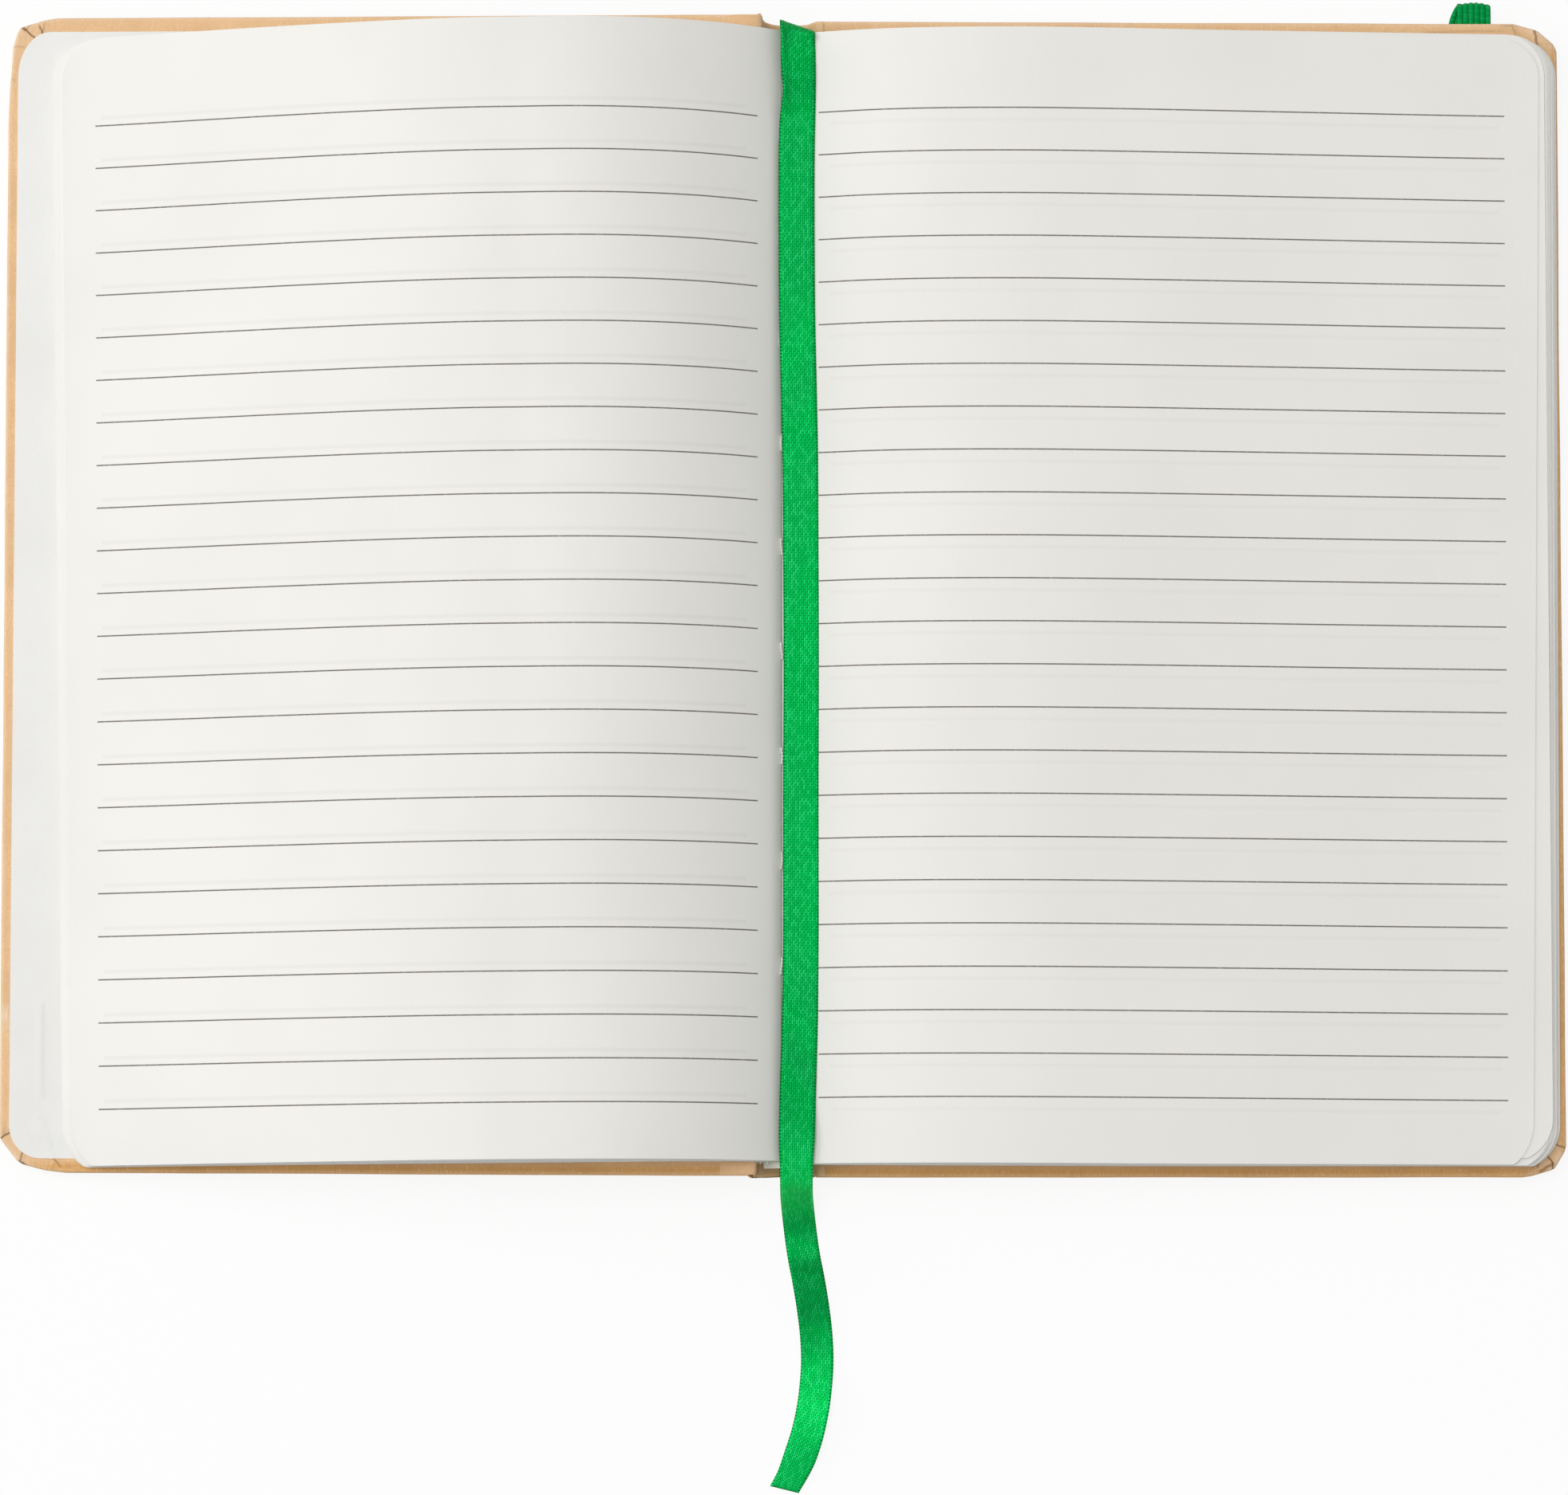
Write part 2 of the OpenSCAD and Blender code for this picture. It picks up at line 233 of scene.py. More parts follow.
def roundedPath(points, count):
    # a Catmull-Rom curve through given points, then spaced evenly along its length
    points = np.asarray(points, float)
    padded = np.concatenate([[2 * points[0] - points[1]], points, [2 * points[-1] - points[-2]]])
    t = np.linspace(0, 1, 24, endpoint=False)[None, :, None]
    p0, p1, p2, p3 = (padded[i:len(padded) - 3 + i, None] for i in range(4))
    dense = 0.5 * (2 * p1 + (p2 - p0) * t + (2 * p0 - 5 * p1 + 4 * p2 - p3) * t ** 2
                   + (3 * p1 - p0 - 3 * p2 + p3) * t ** 3)
    dense = np.concatenate([dense.reshape(-1, 3), points[-1:]])
    along = runLength(dense)
    even = np.linspace(0, along[-1], count)
    return np.stack([np.interp(even, along, dense[:, i]) for i in range(3)], -1)


# Material helpers
def newGroup(name, inputs, outputs):
    # a node group with number inputs, each with its default, and number outputs
    group = bpy.data.node_groups.new(name, "ShaderNodeTree")
    for label, value in inputs.items():
        socket = group.interface.new_socket(label, in_out="INPUT", socket_type="NodeSocketFloat")
        socket.default_value = value
    for label in outputs:
        group.interface.new_socket(label, in_out="OUTPUT", socket_type="NodeSocketFloat")
    return group, group.nodes.new("NodeGroupInput"), group.nodes.new("NodeGroupOutput")


def fillSocket(tree, socket, value):
    # links another node's output to a socket, or sets the socket's own number or colour
    if isinstance(value, bpy.types.NodeSocket):
        tree.links.new(value, socket)
    else:
        socket.default_value = value


def addNode(tree, kind, settings=None, **inputs):
    # makes a node, sets its options, and fills inputs from numbers, colours or other nodes' outputs
    node = tree.nodes.new(kind)
    for key, value in (settings or {}).items():
        setattr(node, key, value)
    for key, value in inputs.items():
        byNumber = key[0] == "i" and key[1:].isdigit()
        fillSocket(tree, node.inputs[int(key[1:]) if byNumber else key], value)
    return node


def mathNode(tree, operation, a, b=0.0, c=0.0):
    # one step of arithmetic on up to three numbers
    return addNode(tree, "ShaderNodeMath", {"operation": operation}, i0=a, i1=b, i2=c).outputs[0]


def mixColour(tree, share, a, b, mode="MIX"):
    # a colour between a and b by a share from 0 to 1, or their product by that share
    node = tree.nodes.new("ShaderNodeMix")
    node.data_type = "RGBA"
    node.blend_type = mode
    for index, value in ((0, share), (6, a), (7, b)):
        fillSocket(tree, node.inputs[index], value)
    return node.outputs[2]


def rangeNode(tree, value, low, high, outLow=0.0, outHigh=1.0):
    # carries low..high to outLow..outHigh with level ends
    node = addNode(tree, "ShaderNodeMapRange", {"interpolation_type": "SMOOTHSTEP"}, i0=value)
    for index, number in ((1, low), (2, high), (3, outLow), (4, outHigh)):
        node.inputs[index].default_value = number
    return node.outputs[0]


def noiseAt(tree, vector, scale, detail):
    # soft noise from 0 to 1 at a place
    return addNode(tree, "ShaderNodeTexNoise", None, Vector=vector, Scale=scale, Detail=detail,
                   Roughness=0.55).outputs["Fac"]


def maskNode(tree, name):
    # a mask that the mesh carries on its points
    return addNode(tree, "ShaderNodeAttribute", {"attribute_name": name}).outputs["Fac"]


def uvNode(tree):
    # the piece's own UV map in metres: across and along
    place = addNode(tree, "ShaderNodeUVMap", {"uv_map": "UVMap"}).outputs[0]
    return addNode(tree, "ShaderNodeSeparateXYZ", None, Vector=place).outputs[:2]


def placeNode(tree):
    # the place on the object in metres
    return tree.nodes.new("ShaderNodeTexCoord").outputs["Object"]


# Paper: cloudy tone, fine fibres in two directions and a bump height.
paperGroup, groupIn, groupOut = newGroup(
    "paperFibre", {"Cloud Size": 60.0, "Fibre Size": 900.0}, ["Cloud", "Fibre", "Height"])
where = placeNode(paperGroup)
cloud = noiseAt(paperGroup, where, groupIn.outputs["Cloud Size"], 3.0)
fibres = []
for rotation, stretch in (((0.3, 0.2, 0.6), 0.3), ((0.1, 0.4, -0.9), 0.28)):
    turned = addNode(paperGroup, "ShaderNodeMapping", None, Vector=where, Rotation=rotation,
                     Scale=(1.0, stretch, 1.0))
    fibres.append(noiseAt(paperGroup, turned.outputs[0], groupIn.outputs["Fibre Size"], 2.0))
fibre = mathNode(paperGroup, "MAXIMUM", *fibres)
height = mathNode(paperGroup, "MULTIPLY_ADD", cloud, 0.5, fibre)
for label, result in (("Cloud", cloud), ("Fibre", fibre), ("Height", height)):
    paperGroup.links.new(result, groupOut.inputs[label])

# Printed rules: a soft-edged line at every pitch, between a first and last line and two side margins.
# An even number of lines sits half a pitch off the middle.
ruleGroup, groupIn, groupOut = newGroup(
    "printedRules", {"Across": 0.0, "Along": 0.0, "Middle": 0.0, "Pitch": 0.00775, "Lines": 24.0,
                     "Start": 0.004, "End": 0.123, "Width": 0.0002, "Softness": 0.0001}, ["Line"])
entry = groupIn.outputs
offCentre = mathNode(ruleGroup, "SUBTRACT", entry["Along"], entry["Middle"])
steps = mathNode(ruleGroup, "DIVIDE", offCentre, entry["Pitch"])
nearest = mathNode(ruleGroup, "ROUND", mathNode(ruleGroup, "ADD", steps, 0.5))
offLine = mathNode(ruleGroup, "SUBTRACT", steps, mathNode(ruleGroup, "SUBTRACT", nearest, 0.5))
offLine = mathNode(ruleGroup, "MULTIPLY", mathNode(ruleGroup, "ABSOLUTE", offLine), entry["Pitch"])
inkReach = mathNode(ruleGroup, "MULTIPLY_ADD", entry["Width"], 0.5, entry["Softness"])
edge = mathNode(ruleGroup, "DIVIDE", mathNode(ruleGroup, "SUBTRACT", inkReach, offLine), entry["Softness"])
inked = addNode(ruleGroup, "ShaderNodeClamp", None, Value=edge).outputs[0]
halfCount = mathNode(ruleGroup, "MULTIPLY", entry["Lines"], 0.5)
inside = mathNode(ruleGroup, "LESS_THAN", mathNode(ruleGroup, "ABSOLUTE", steps), halfCount)
after = mathNode(ruleGroup, "GREATER_THAN", entry["Across"], entry["Start"])
before = mathNode(ruleGroup, "LESS_THAN", entry["Across"], entry["End"])
shown = mathNode(ruleGroup, "MULTIPLY", mathNode(ruleGroup, "MULTIPLY", inked, inside),
                 mathNode(ruleGroup, "MULTIPLY", after, before))
ruleGroup.links.new(shown, groupOut.inputs["Line"])


def roundedOff(tree, part, power):
    # how high a thread stands over its own span from 0 to 1: 1 - |2 part - 1|^power
    off = mathNode(tree, "ABSOLUTE", mathNode(tree, "MULTIPLY_ADD", part, 2.0, -1.0))
    return mathNode(tree, "SUBTRACT", 1.0, mathNode(tree, "POWER", off, power))


# Weave: columns of satin floats in a UV map in metres; each column's floats start a step further along.
weaveGroup, groupIn, groupOut = newGroup(
    "clothWeave", {"Across": 0.0, "Along": 0.0, "Column": 0.00033, "Float": 0.001, "Step": 0.38,
                   "Slant": 0.4}, ["Thread", "Shade"])
entry = groupIn.outputs
column = mathNode(weaveGroup, "DIVIDE", entry["Across"], entry["Column"])
columnNumber = mathNode(weaveGroup, "FLOOR", column)
columnPart = mathNode(weaveGroup, "FRACT", column)
floats = mathNode(weaveGroup, "DIVIDE", entry["Along"], entry["Float"])
floats = mathNode(weaveGroup, "MULTIPLY_ADD", columnNumber, entry["Step"], floats)
floats = mathNode(weaveGroup, "MULTIPLY_ADD", columnPart, entry["Slant"], floats)
roundOver = roundedOff(weaveGroup, columnPart, 2.5)
roundEnd = roundedOff(weaveGroup, mathNode(weaveGroup, "FRACT", floats), 5.0)
weaveGroup.links.new(mathNode(weaveGroup, "MULTIPLY", roundOver, roundEnd), groupOut.inputs["Thread"])
eachFloat = addNode(weaveGroup, "ShaderNodeCombineXYZ", None, X=columnNumber,
                    Y=mathNode(weaveGroup, "FLOOR", floats)).outputs[0]
shadeOf = addNode(weaveGroup, "ShaderNodeTexWhiteNoise", {"noise_dimensions": "2D"}, Vector=eachFloat)
weaveGroup.links.new(shadeOf.outputs["Value"], groupOut.inputs["Shade"])


def newMaterial(name):
    # an empty Principled material, its node tree and its shader
    material = bpy.data.materials.new(name)
    material.use_nodes = True
    tree = material.node_tree
    return material, tree, tree.nodes["Principled BSDF"]


def useGroup(tree, group, **inputs):
    # a copy of a shared group with its inputs filled by name
    node = tree.nodes.new("ShaderNodeGroup")
    node.node_tree = group
    for key, value in inputs.items():
        fillSocket(tree, node.inputs[key.replace("_", " ")], value)
    return node


def finishShader(tree, shader, colour, rough, gloss, height, bump, depth):
    # links the colour and the bump height, and sets the plain numbers on the shader's own sockets
    tree.links.new(colour, shader.inputs["Base Color"])
    shader.inputs["Roughness"].default_value = rough
    if gloss is not None:
        shader.inputs["Specular IOR Level"].default_value = gloss
    raised = addNode(tree, "ShaderNodeBump", None, Height=height, Strength=bump, Distance=depth)
    tree.links.new(raised.outputs[0], shader.inputs["Normal"])


def makeLeafMaterial(name, look):
    # off-white paper with printed rules and the faint rules of the sheet's other side
    material, tree, shader = newMaterial(name)
    paper = useGroup(tree, paperGroup, Cloud_Size=look["cloud"], Fibre_Size=1400.0)
    cloudy = rangeNode(tree, paper.outputs["Cloud"], 0.3, 0.7)
    colour = mixColour(tree, cloudy, look["tone"], look["shade"])
    if "middle" in look:
        across, along = uvNode(tree)
        ghost = useGroup(tree, ruleGroup, Across=across, Along=along, Middle=look["middle"] + look["ghost"],
                         Pitch=look["pitch"], Start=look["start"] + 2 * mm, End=look["end"] - 1 * mm,
                         Width=0.35 * mm, Softness=0.3 * mm)
        ghostly = mathNode(tree, "MULTIPLY", ghost.outputs[0], look["ghostShare"])
        colour = mixColour(tree, ghostly, colour, look["ghostInk"])
        lines = useGroup(tree, ruleGroup, Across=across, Along=along, Middle=look["middle"],
                         Pitch=look["pitch"], Start=look["start"], End=look["end"],
                         Width=0.14 * mm, Softness=0.1 * mm)
        broken = rangeNode(tree, paper.outputs["Fibre"], 0.2, 0.6, 0.7, 0.95)
        colour = mixColour(tree, mathNode(tree, "MULTIPLY", lines.outputs[0], broken), colour, look["ink"])
    finishShader(tree, shader, colour, 0.82, 0.2, paper.outputs["Height"], 0.12, 0.2 * mm)
    return material


def makeEdgeMaterial():
    # cut leaf edges: thin light and dark streaks at each level of the stack, broken a little along them; the
    # dark bluish-grey streaks are painted shade between the leaves
    material, tree, shader = newMaterial("leafEdges")
    wander = noiseAt(tree, placeNode(tree), 45.0, 1.0)
    place = mathNode(tree, "MULTIPLY_ADD", wander, 0.02, maskNode(tree, "level"))
    single, group = (addNode(tree, "ShaderNodeTexNoise", {"noise_dimensions": "1D"}, W=place, Scale=scale,
                             Detail=detail).outputs["Fac"] for scale, detail in ((260.0, 2.0), (48.0, 1.0)))
    colour = mixColour(tree, rangeNode(tree, single, 0.35, 0.65), (0.74, 0.755, 0.75, 1),
                       (0.93, 0.92, 0.885, 1))
    colour = mixColour(tree, rangeNode(tree, group, 0.5, 0.72, 0.0, 0.75), colour, (0.62, 0.655, 0.665, 1))
    finishShader(tree, shader, colour, 0.9, None, single, 0.5, 0.1 * mm)
    return material


def makeKraftMaterial(name, look):
    # brown wrapping paper: cloudy tone, short pale and dark fibres, rubbed folds where the wear mask is
    # high; painted shade along the creases, and a painted shadow that darkens and saturates the brown
    # towards the tail and right edges and on the spine paper
    material, tree, shader = newMaterial(name)
    paper = useGroup(tree, paperGroup, Cloud_Size=110.0, Fibre_Size=3000.0)
    cloud, fibre = paper.outputs["Cloud"], paper.outputs["Fibre"]
    where = placeNode(tree)
    # painted shadow: this mask shifts the brown to darker, more saturated tones
    paintedShadow = maskNode(tree, "paintedShadow")
    tone = mixColour(tree, paintedShadow, look["tone"], look["paintedShadowTone"])
    shade = mixColour(tree, paintedShadow, look["shade"], look["paintedShadowDark"])
    colour = mixColour(tree, rangeNode(tree, cloud, 0.3, 0.7, 0.0, 0.7), tone, shade)
    grain = noiseAt(tree, where, 3400.0, 2.0)
    colour = mixColour(tree, rangeNode(tree, grain, 0.4, 0.75, 0.0, 0.8), colour, shade)
    colour = mixColour(tree, rangeNode(tree, fibre, 0.6, 0.74, 0.0, 0.4), colour, look["pale"])
    speck = noiseAt(tree, where, 2600.0, 1.0)
    colour = mixColour(tree, rangeNode(tree, speck, 0.68, 0.76, 0.0, 0.4), colour, look["speck"])
    rubbed = mathNode(tree, "MULTIPLY", maskNode(tree, "wear"), rangeNode(tree, fibre, 0.35, 0.65, 0.3, 1.0))
    colour = mixColour(tree, rubbed, colour, look["worn"])
    # painted shade along the creases
    colour = mixColour(tree, maskNode(tree, "crease"), colour, look["paintedShade"])
    finishShader(tree, shader, colour, 0.78, 0.25, paper.outputs["Height"], 0.3, 0.1 * mm)
    return material


def makePlainMaterial(name, tone, shade, cloudSize, fibreSize, rough, bump):
    # board, endpaper, lining and thread: two tones, painted shade along creases and a fibrous bump
    material, tree, shader = newMaterial(name)
    paper = useGroup(tree, paperGroup, Cloud_Size=cloudSize, Fibre_Size=fibreSize)
    colour = mixColour(tree, rangeNode(tree, paper.outputs["Cloud"], 0.3, 0.7), tone, shade)
    colour = mixColour(tree, rangeNode(tree, paper.outputs["Fibre"], 0.5, 0.75, 0.0, 0.3), colour, shade)
    # painted shade along the creases, where the mesh carries a crease mask
    creased = mathNode(tree, "MULTIPLY", maskNode(tree, "crease"), 0.5)
    colour = mixColour(tree, creased, colour, tuple(0.6 * c for c in shade[:3]) + (1,))
    finishShader(tree, shader, colour, rough, 0.2, paper.outputs["Height"], bump, 0.2 * mm)
    return material


def makeClothMaterial(name, look):
    # woven ribbon or wrapped elastic: satin floats from the piece's own UV map, with painted shade between
    # them
    material, tree, shader = newMaterial(name)
    across, along = uvNode(tree)
    weave = useGroup(tree, weaveGroup, Across=across, Along=along, Column=look["column"],
                     Float=look["float"], Step=look["step"], Slant=look["slant"])
    thread = weave.outputs["Thread"]
    cloudy = rangeNode(tree, noiseAt(tree, placeNode(tree), 160.0, 2.0), 0.3, 0.7, 0.0, 0.5)
    tone = mixColour(tree, cloudy, look["tone"], look["shade"])
    glint = rangeNode(tree, weave.outputs["Shade"], 0.3, 1.0, 0.0, look["glint"])
    tone = mixColour(tree, glint, tone, look["bright"])
    if "selvedge" in look:                         # the woven edges: short beads in a narrow band
        atEdge = rangeNode(tree, mathNode(tree, "ABSOLUTE", across), look["selvedge"] - 0.12 * mm,
                           look["selvedge"])
        bead = mathNode(tree, "SINE", mathNode(tree, "MULTIPLY", along, 2 * math.pi / look["beadPitch"]))
        bead = mathNode(tree, "MULTIPLY", mathNode(tree, "MULTIPLY_ADD", bead, 0.4, 0.5), atEdge)
        thread = mathNode(tree, "MULTIPLY_ADD", thread, mathNode(tree, "SUBTRACT", 1.0, atEdge), bead)
    # painted shade in the gaps between the floats and ribs
    colour = mixColour(tree, rangeNode(tree, thread, 0.0, 0.6), look["paintedShade"], tone)
    if "selvedge" in look:                         # painted highlight and shade: the satin's colour is lightened in some places and darkened in others along its bends by a factor on its points
        colour = mixColour(tree, 1.0, colour, maskNode(tree, "paintedSheen"), "MULTIPLY")
    shader.inputs["Metallic"].default_value = look["metal"]
    shader.inputs["Specular Tint"].default_value = look["gloss"]
    finishShader(tree, shader, colour, look["rough"], None, thread, look["bump"], 0.1 * mm)
    return material


print("building the materials")
leftLook = {"tone": (0.84, 0.83, 0.79, 1), "shade": (0.81, 0.80, 0.765, 1), "cloud": 25.0,
            "ink": (0.13, 0.105, 0.085, 1), "ghostInk": (0.72, 0.70, 0.65, 1), "ghostShare": 0.32,
            "middle": -3.1 * mm, "pitch": 7.75 * mm, "start": 4.3 * mm, "end": 123.4 * mm,
            "ghost": 1.45 * mm}
rightLook = dict(leftLook, middle=-1.49 * mm, pitch=7.743 * mm, start=6.65 * mm, end=130.4 * mm,
                 ghost=-2.15 * mm, ghostShare=0.22)
leftRuled = makeLeafMaterial("leftRuledLeaf", leftLook)
rightRuled = makeLeafMaterial("rightRuledLeaf", rightLook)
plainLeaf = makeLeafMaterial("plainLeaf", {key: leftLook[key] for key in ("tone", "shade", "cloud")})
leafEdges = makeEdgeMaterial()
# the shadow tones and the dark colour are painted shade: a painted shadow at the edges and shade in the
# creases
kraft = makeKraftMaterial("kraftPaper", {
    "tone": (0.80, 0.52, 0.285, 1), "shade": (0.69, 0.43, 0.225, 1), "paintedShadowTone": (0.70, 0.37, 0.115, 1),
    "paintedShadowDark": (0.57, 0.29, 0.08, 1), "pale": (0.86, 0.64, 0.42, 1), "speck": (0.40, 0.22, 0.09, 1),
    "paintedShade": (0.13, 0.065, 0.022, 1), "worn": (0.83, 0.66, 0.48, 1)})
endpaper, greyBoard, gauze, linenThread = (makePlainMaterial(*look) for look in (
    ("endpaper", (0.82, 0.815, 0.79, 1), (0.785, 0.78, 0.755, 1), 40.0, 1200.0, 0.85, 0.12),
    ("greyBoard", (0.42, 0.36, 0.28, 1), (0.34, 0.29, 0.22, 1), 200.0, 800.0, 0.9, 0.4),
    ("gauzeLining", (0.72, 0.72, 0.64, 1), (0.52, 0.52, 0.44, 1), 300.0, 2500.0, 0.9, 0.5),
    ("linenThread", (0.90, 0.89, 0.86, 1), (0.76, 0.75, 0.71, 1), 500.0, 4000.0, 0.8, 0.5)))
# in both cloths the dark colour is painted shade between the threads
satin = makeClothMaterial("satinRibbon", {
    "tone": (0.0015, 0.37, 0.058, 1), "shade": (0.001, 0.31, 0.046, 1), "paintedShade": (0.0, 0.09, 0.015, 1),
    "bright": (0.02, 0.60, 0.17, 1), "gloss": (0.01, 1.0, 0.33, 1), "column": 0.37 * mm,
    "float": 0.95 * mm, "step": 0.5, "slant": 0.15, "rough": 0.42, "metal": 0.4, "bump": 0.35,
    "glint": 0.4, "selvedge": 2.85 * mm, "beadPitch": 0.62 * mm})
elasticCloth = makeClothMaterial("elasticCloth", {
    "tone": (0.0, 0.27, 0.05, 1), "shade": (0.0, 0.22, 0.04, 1), "paintedShade": (0.0, 0.09, 0.016, 1),
    "bright": (0.02, 0.42, 0.13, 1), "gloss": (0.01, 1.0, 0.33, 1), "column": 1.03 * mm,
    "float": 0.27 * mm, "step": 0.35, "slant": 0.3, "rough": 0.6, "metal": 0.0, "bump": 0.5, "glint": 0.4})


print("setting the camera and the light")
cameraSet = {"location": (0.43 * mm, -162.9 * mm, 1471.8 * mm),
             "tilt": 5.27, "lens": 187.6, "sensor": 36}
view = bpy.data.cameras.new("photoCamera")
view.sensor_width = cameraSet["sensor"]
view.lens = cameraSet["lens"]
view.clip_end = 20
camera = bpy.data.objects.new("photoCamera", view)
camera.location = cameraSet["location"]
camera.rotation_euler = (math.radians(cameraSet["tilt"]), 0, 0)
bpy.context.scene.collection.objects.link(camera)
bpy.context.scene.camera = camera
bpy.context.scene.view_settings.view_transform = "Standard"

# each lamp's place, size in metres and watts
lightSet = {"sky": 0.405, "lamps": {"softTop": ((-0.35, 0.2, 1.9), 1.4, 20.0),
                                    "softLow": ((-1.75, 0.35, 0.75), 0.9, 12.0)}}
for lampName, (place, size, power) in lightSet["lamps"].items():
    lampData = bpy.data.lights.new(lampName, "AREA")
    lampData.size = size
    lampData.energy = power
    lamp = bpy.data.objects.new(lampName, lampData)
    lamp.location = place
    tip = math.acos(place[2] / np.linalg.norm(place))
    lamp.rotation_euler = (tip, 0, math.atan2(place[1], place[0]) + math.pi / 2)
    bpy.context.scene.collection.objects.link(lamp)


def seenRays(tree):
    # 1 for camera, glossy and transmission rays, which see the white studio, and 0 for the rest
    rays = tree.nodes.new("ShaderNodeLightPath")
    straight = mathNode(tree, "MAXIMUM", rays.outputs["Is Camera Ray"], rays.outputs["Is Glossy Ray"])
    return mathNode(tree, "MAXIMUM", straight, rays.outputs["Is Transmission Ray"])


world = bpy.data.worlds.new("studio")
world.use_nodes = True
bpy.context.scene.world = world
worldTree = world.node_tree
worldShader = worldTree.nodes["Background"]
worldShader.inputs["Color"].default_value = (1.0, 1.0, 1.0, 1)
worldTree.links.new(mathNode(worldTree, "MULTIPLY_ADD", seenRays(worldTree),
                             1.0 - lightSet["sky"], lightSet["sky"]), worldShader.inputs["Strength"])


table = {"half": 1.6, "drop": 0.15 * mm, "tone": (0.90, 0.90, 0.90, 1), "rough": 0.95, "lift": 0.88}


def makeFloor():
    # a pale table whose camera view is lifted to near white, with the object's soft shadow kept
    half, drop = table["half"], table["drop"]
    signs = np.array([[-1, -1], [1, -1], [1, 1], [-1, 1]])
    corners = np.concatenate([signs * half, np.full((4, 1), -drop)], 1)
    material, tree, shader = newMaterial("paleTable")
    shader.inputs["Base Color"].default_value = table["tone"]
    shader.inputs["Roughness"].default_value = table["rough"]
    glow = addNode(tree, "ShaderNodeEmission", None, Color=(1, 1, 1, 1), Strength=1.0)
    share = mathNode(tree, "MULTIPLY", seenRays(tree), table["lift"])
    blended = addNode(tree, "ShaderNodeMixShader", None, i0=share, i1=shader.outputs[0], i2=glow.outputs[0])
    tree.links.new(blended.outputs[0], tree.nodes["Material Output"].inputs["Surface"])
    floor = makeMesh("paleFloor", corners, np.array([[0, 1, 2, 3]]), [material])


makeFloor()


print("laying the ribbon marker")
# the last two lists paint highlight and shade along the ribbon: places in mm along the book and the colour
# factor there
ribbon = {"width": 6.5 * mm, "tailWidth": 5.85 * mm, "thickness": 0.36 * mm, "foldSlant": 0.34,
          "foldDrop": 0.5 * mm, "settle": 0.6 * mm, "curl": 0.5 * mm, "cutSlant": -0.35,
          "stations": 640, "across": 13,
          "rollY": (-161, -158, -152, -143, -138, -133, -128, -120, -114, -110),
          "rollDegrees": (0, 6, 13, 13, 3, -7, -13, -12, -4, 0),
          "paintedSheenY": (-161, -155, -151, -146, -141, -136, -132, -129, -125, -121.5, -118.5, -115.5, -113,
                      -110, -106, -102, -98, -94, -84, -60, 40, 84, 92, 98, 101, 104),
          "paintedSheen": (0.95, 1.0, 1.12, 1.25, 1.15, 1.05, 0.95, 0.72, 0.68, 0.78, 1.05, 0.95, 0.9,
                     1.4, 1.6, 1.15, 0.85, 0.8, 0.85, 1.0, 1.0, 0.95, 0.72, 0.9, 0.85, 0.7)}
# Stretches of the ribbon in mm along the book: where a change starts, and over what length it comes in.
ribbonZones = {"dropped": (92, 10), "loose": (-97, -8), "folding": (88, 12), "pageHead": (102.5, -2),
               "pageTail": (-99, 8), "headSettle": (94, 5), "cutEnd": (-154, -6)}
ribbonRoute = np.array([
    [2.8, 90, 6], [2.8, 99, 6], [2.8, 102.4, 6.4], [2.8, 103.4, 7.6], [2.8, 103.6, 9.6],
    [2.8, 103.2, 11.4], [2.8, 101.6, 12.2], [2.9, 98, 12.2], [2.9, 90, 11.9], [2.7, 78, 11.8],
    [2.7, 64, 11.8], [2.8, 50, 11.8], [3.1, 36, 11.8], [3.4, 22, 11.8], [3.5, 8, 11.8],
    [3.6, -6, 11.8], [3.6, -20, 11.8], [3.5, -34, 11.8], [3.5, -48, 11.8], [3.5, -62, 11.8],
    [3.3, -76, 11.8], [2.9, -90, 11.9], [2.7, -99, 12], [2.65, -103.6, 11.5], [2.65, -106.4, 9.8],
    [2.7, -108.4, 7], [2.9, -110.6, 3.8], [3.2, -113.2, 1.6], [3.6, -116.4, 0.7],
    [4.1, -119.6, 0.95], [4.8, -123.2, 1.8], [5.6, -128, 1.7], [6.2, -133, 0.95], [6.4, -138, 0.5],
    [6.1, -142.6, 1.0], [5.5, -147, 1.25], [4.3, -152, 1.2], [2.4, -157.2, 0.6], [0.5, -160.8, 0.25]]) * mm


def ribbonZone(y, name):
    # 0 before a stretch of the ribbon, 1 after it
    start, span = ribbonZones[name]
    return smooth((y - start * mm) / (span * mm))


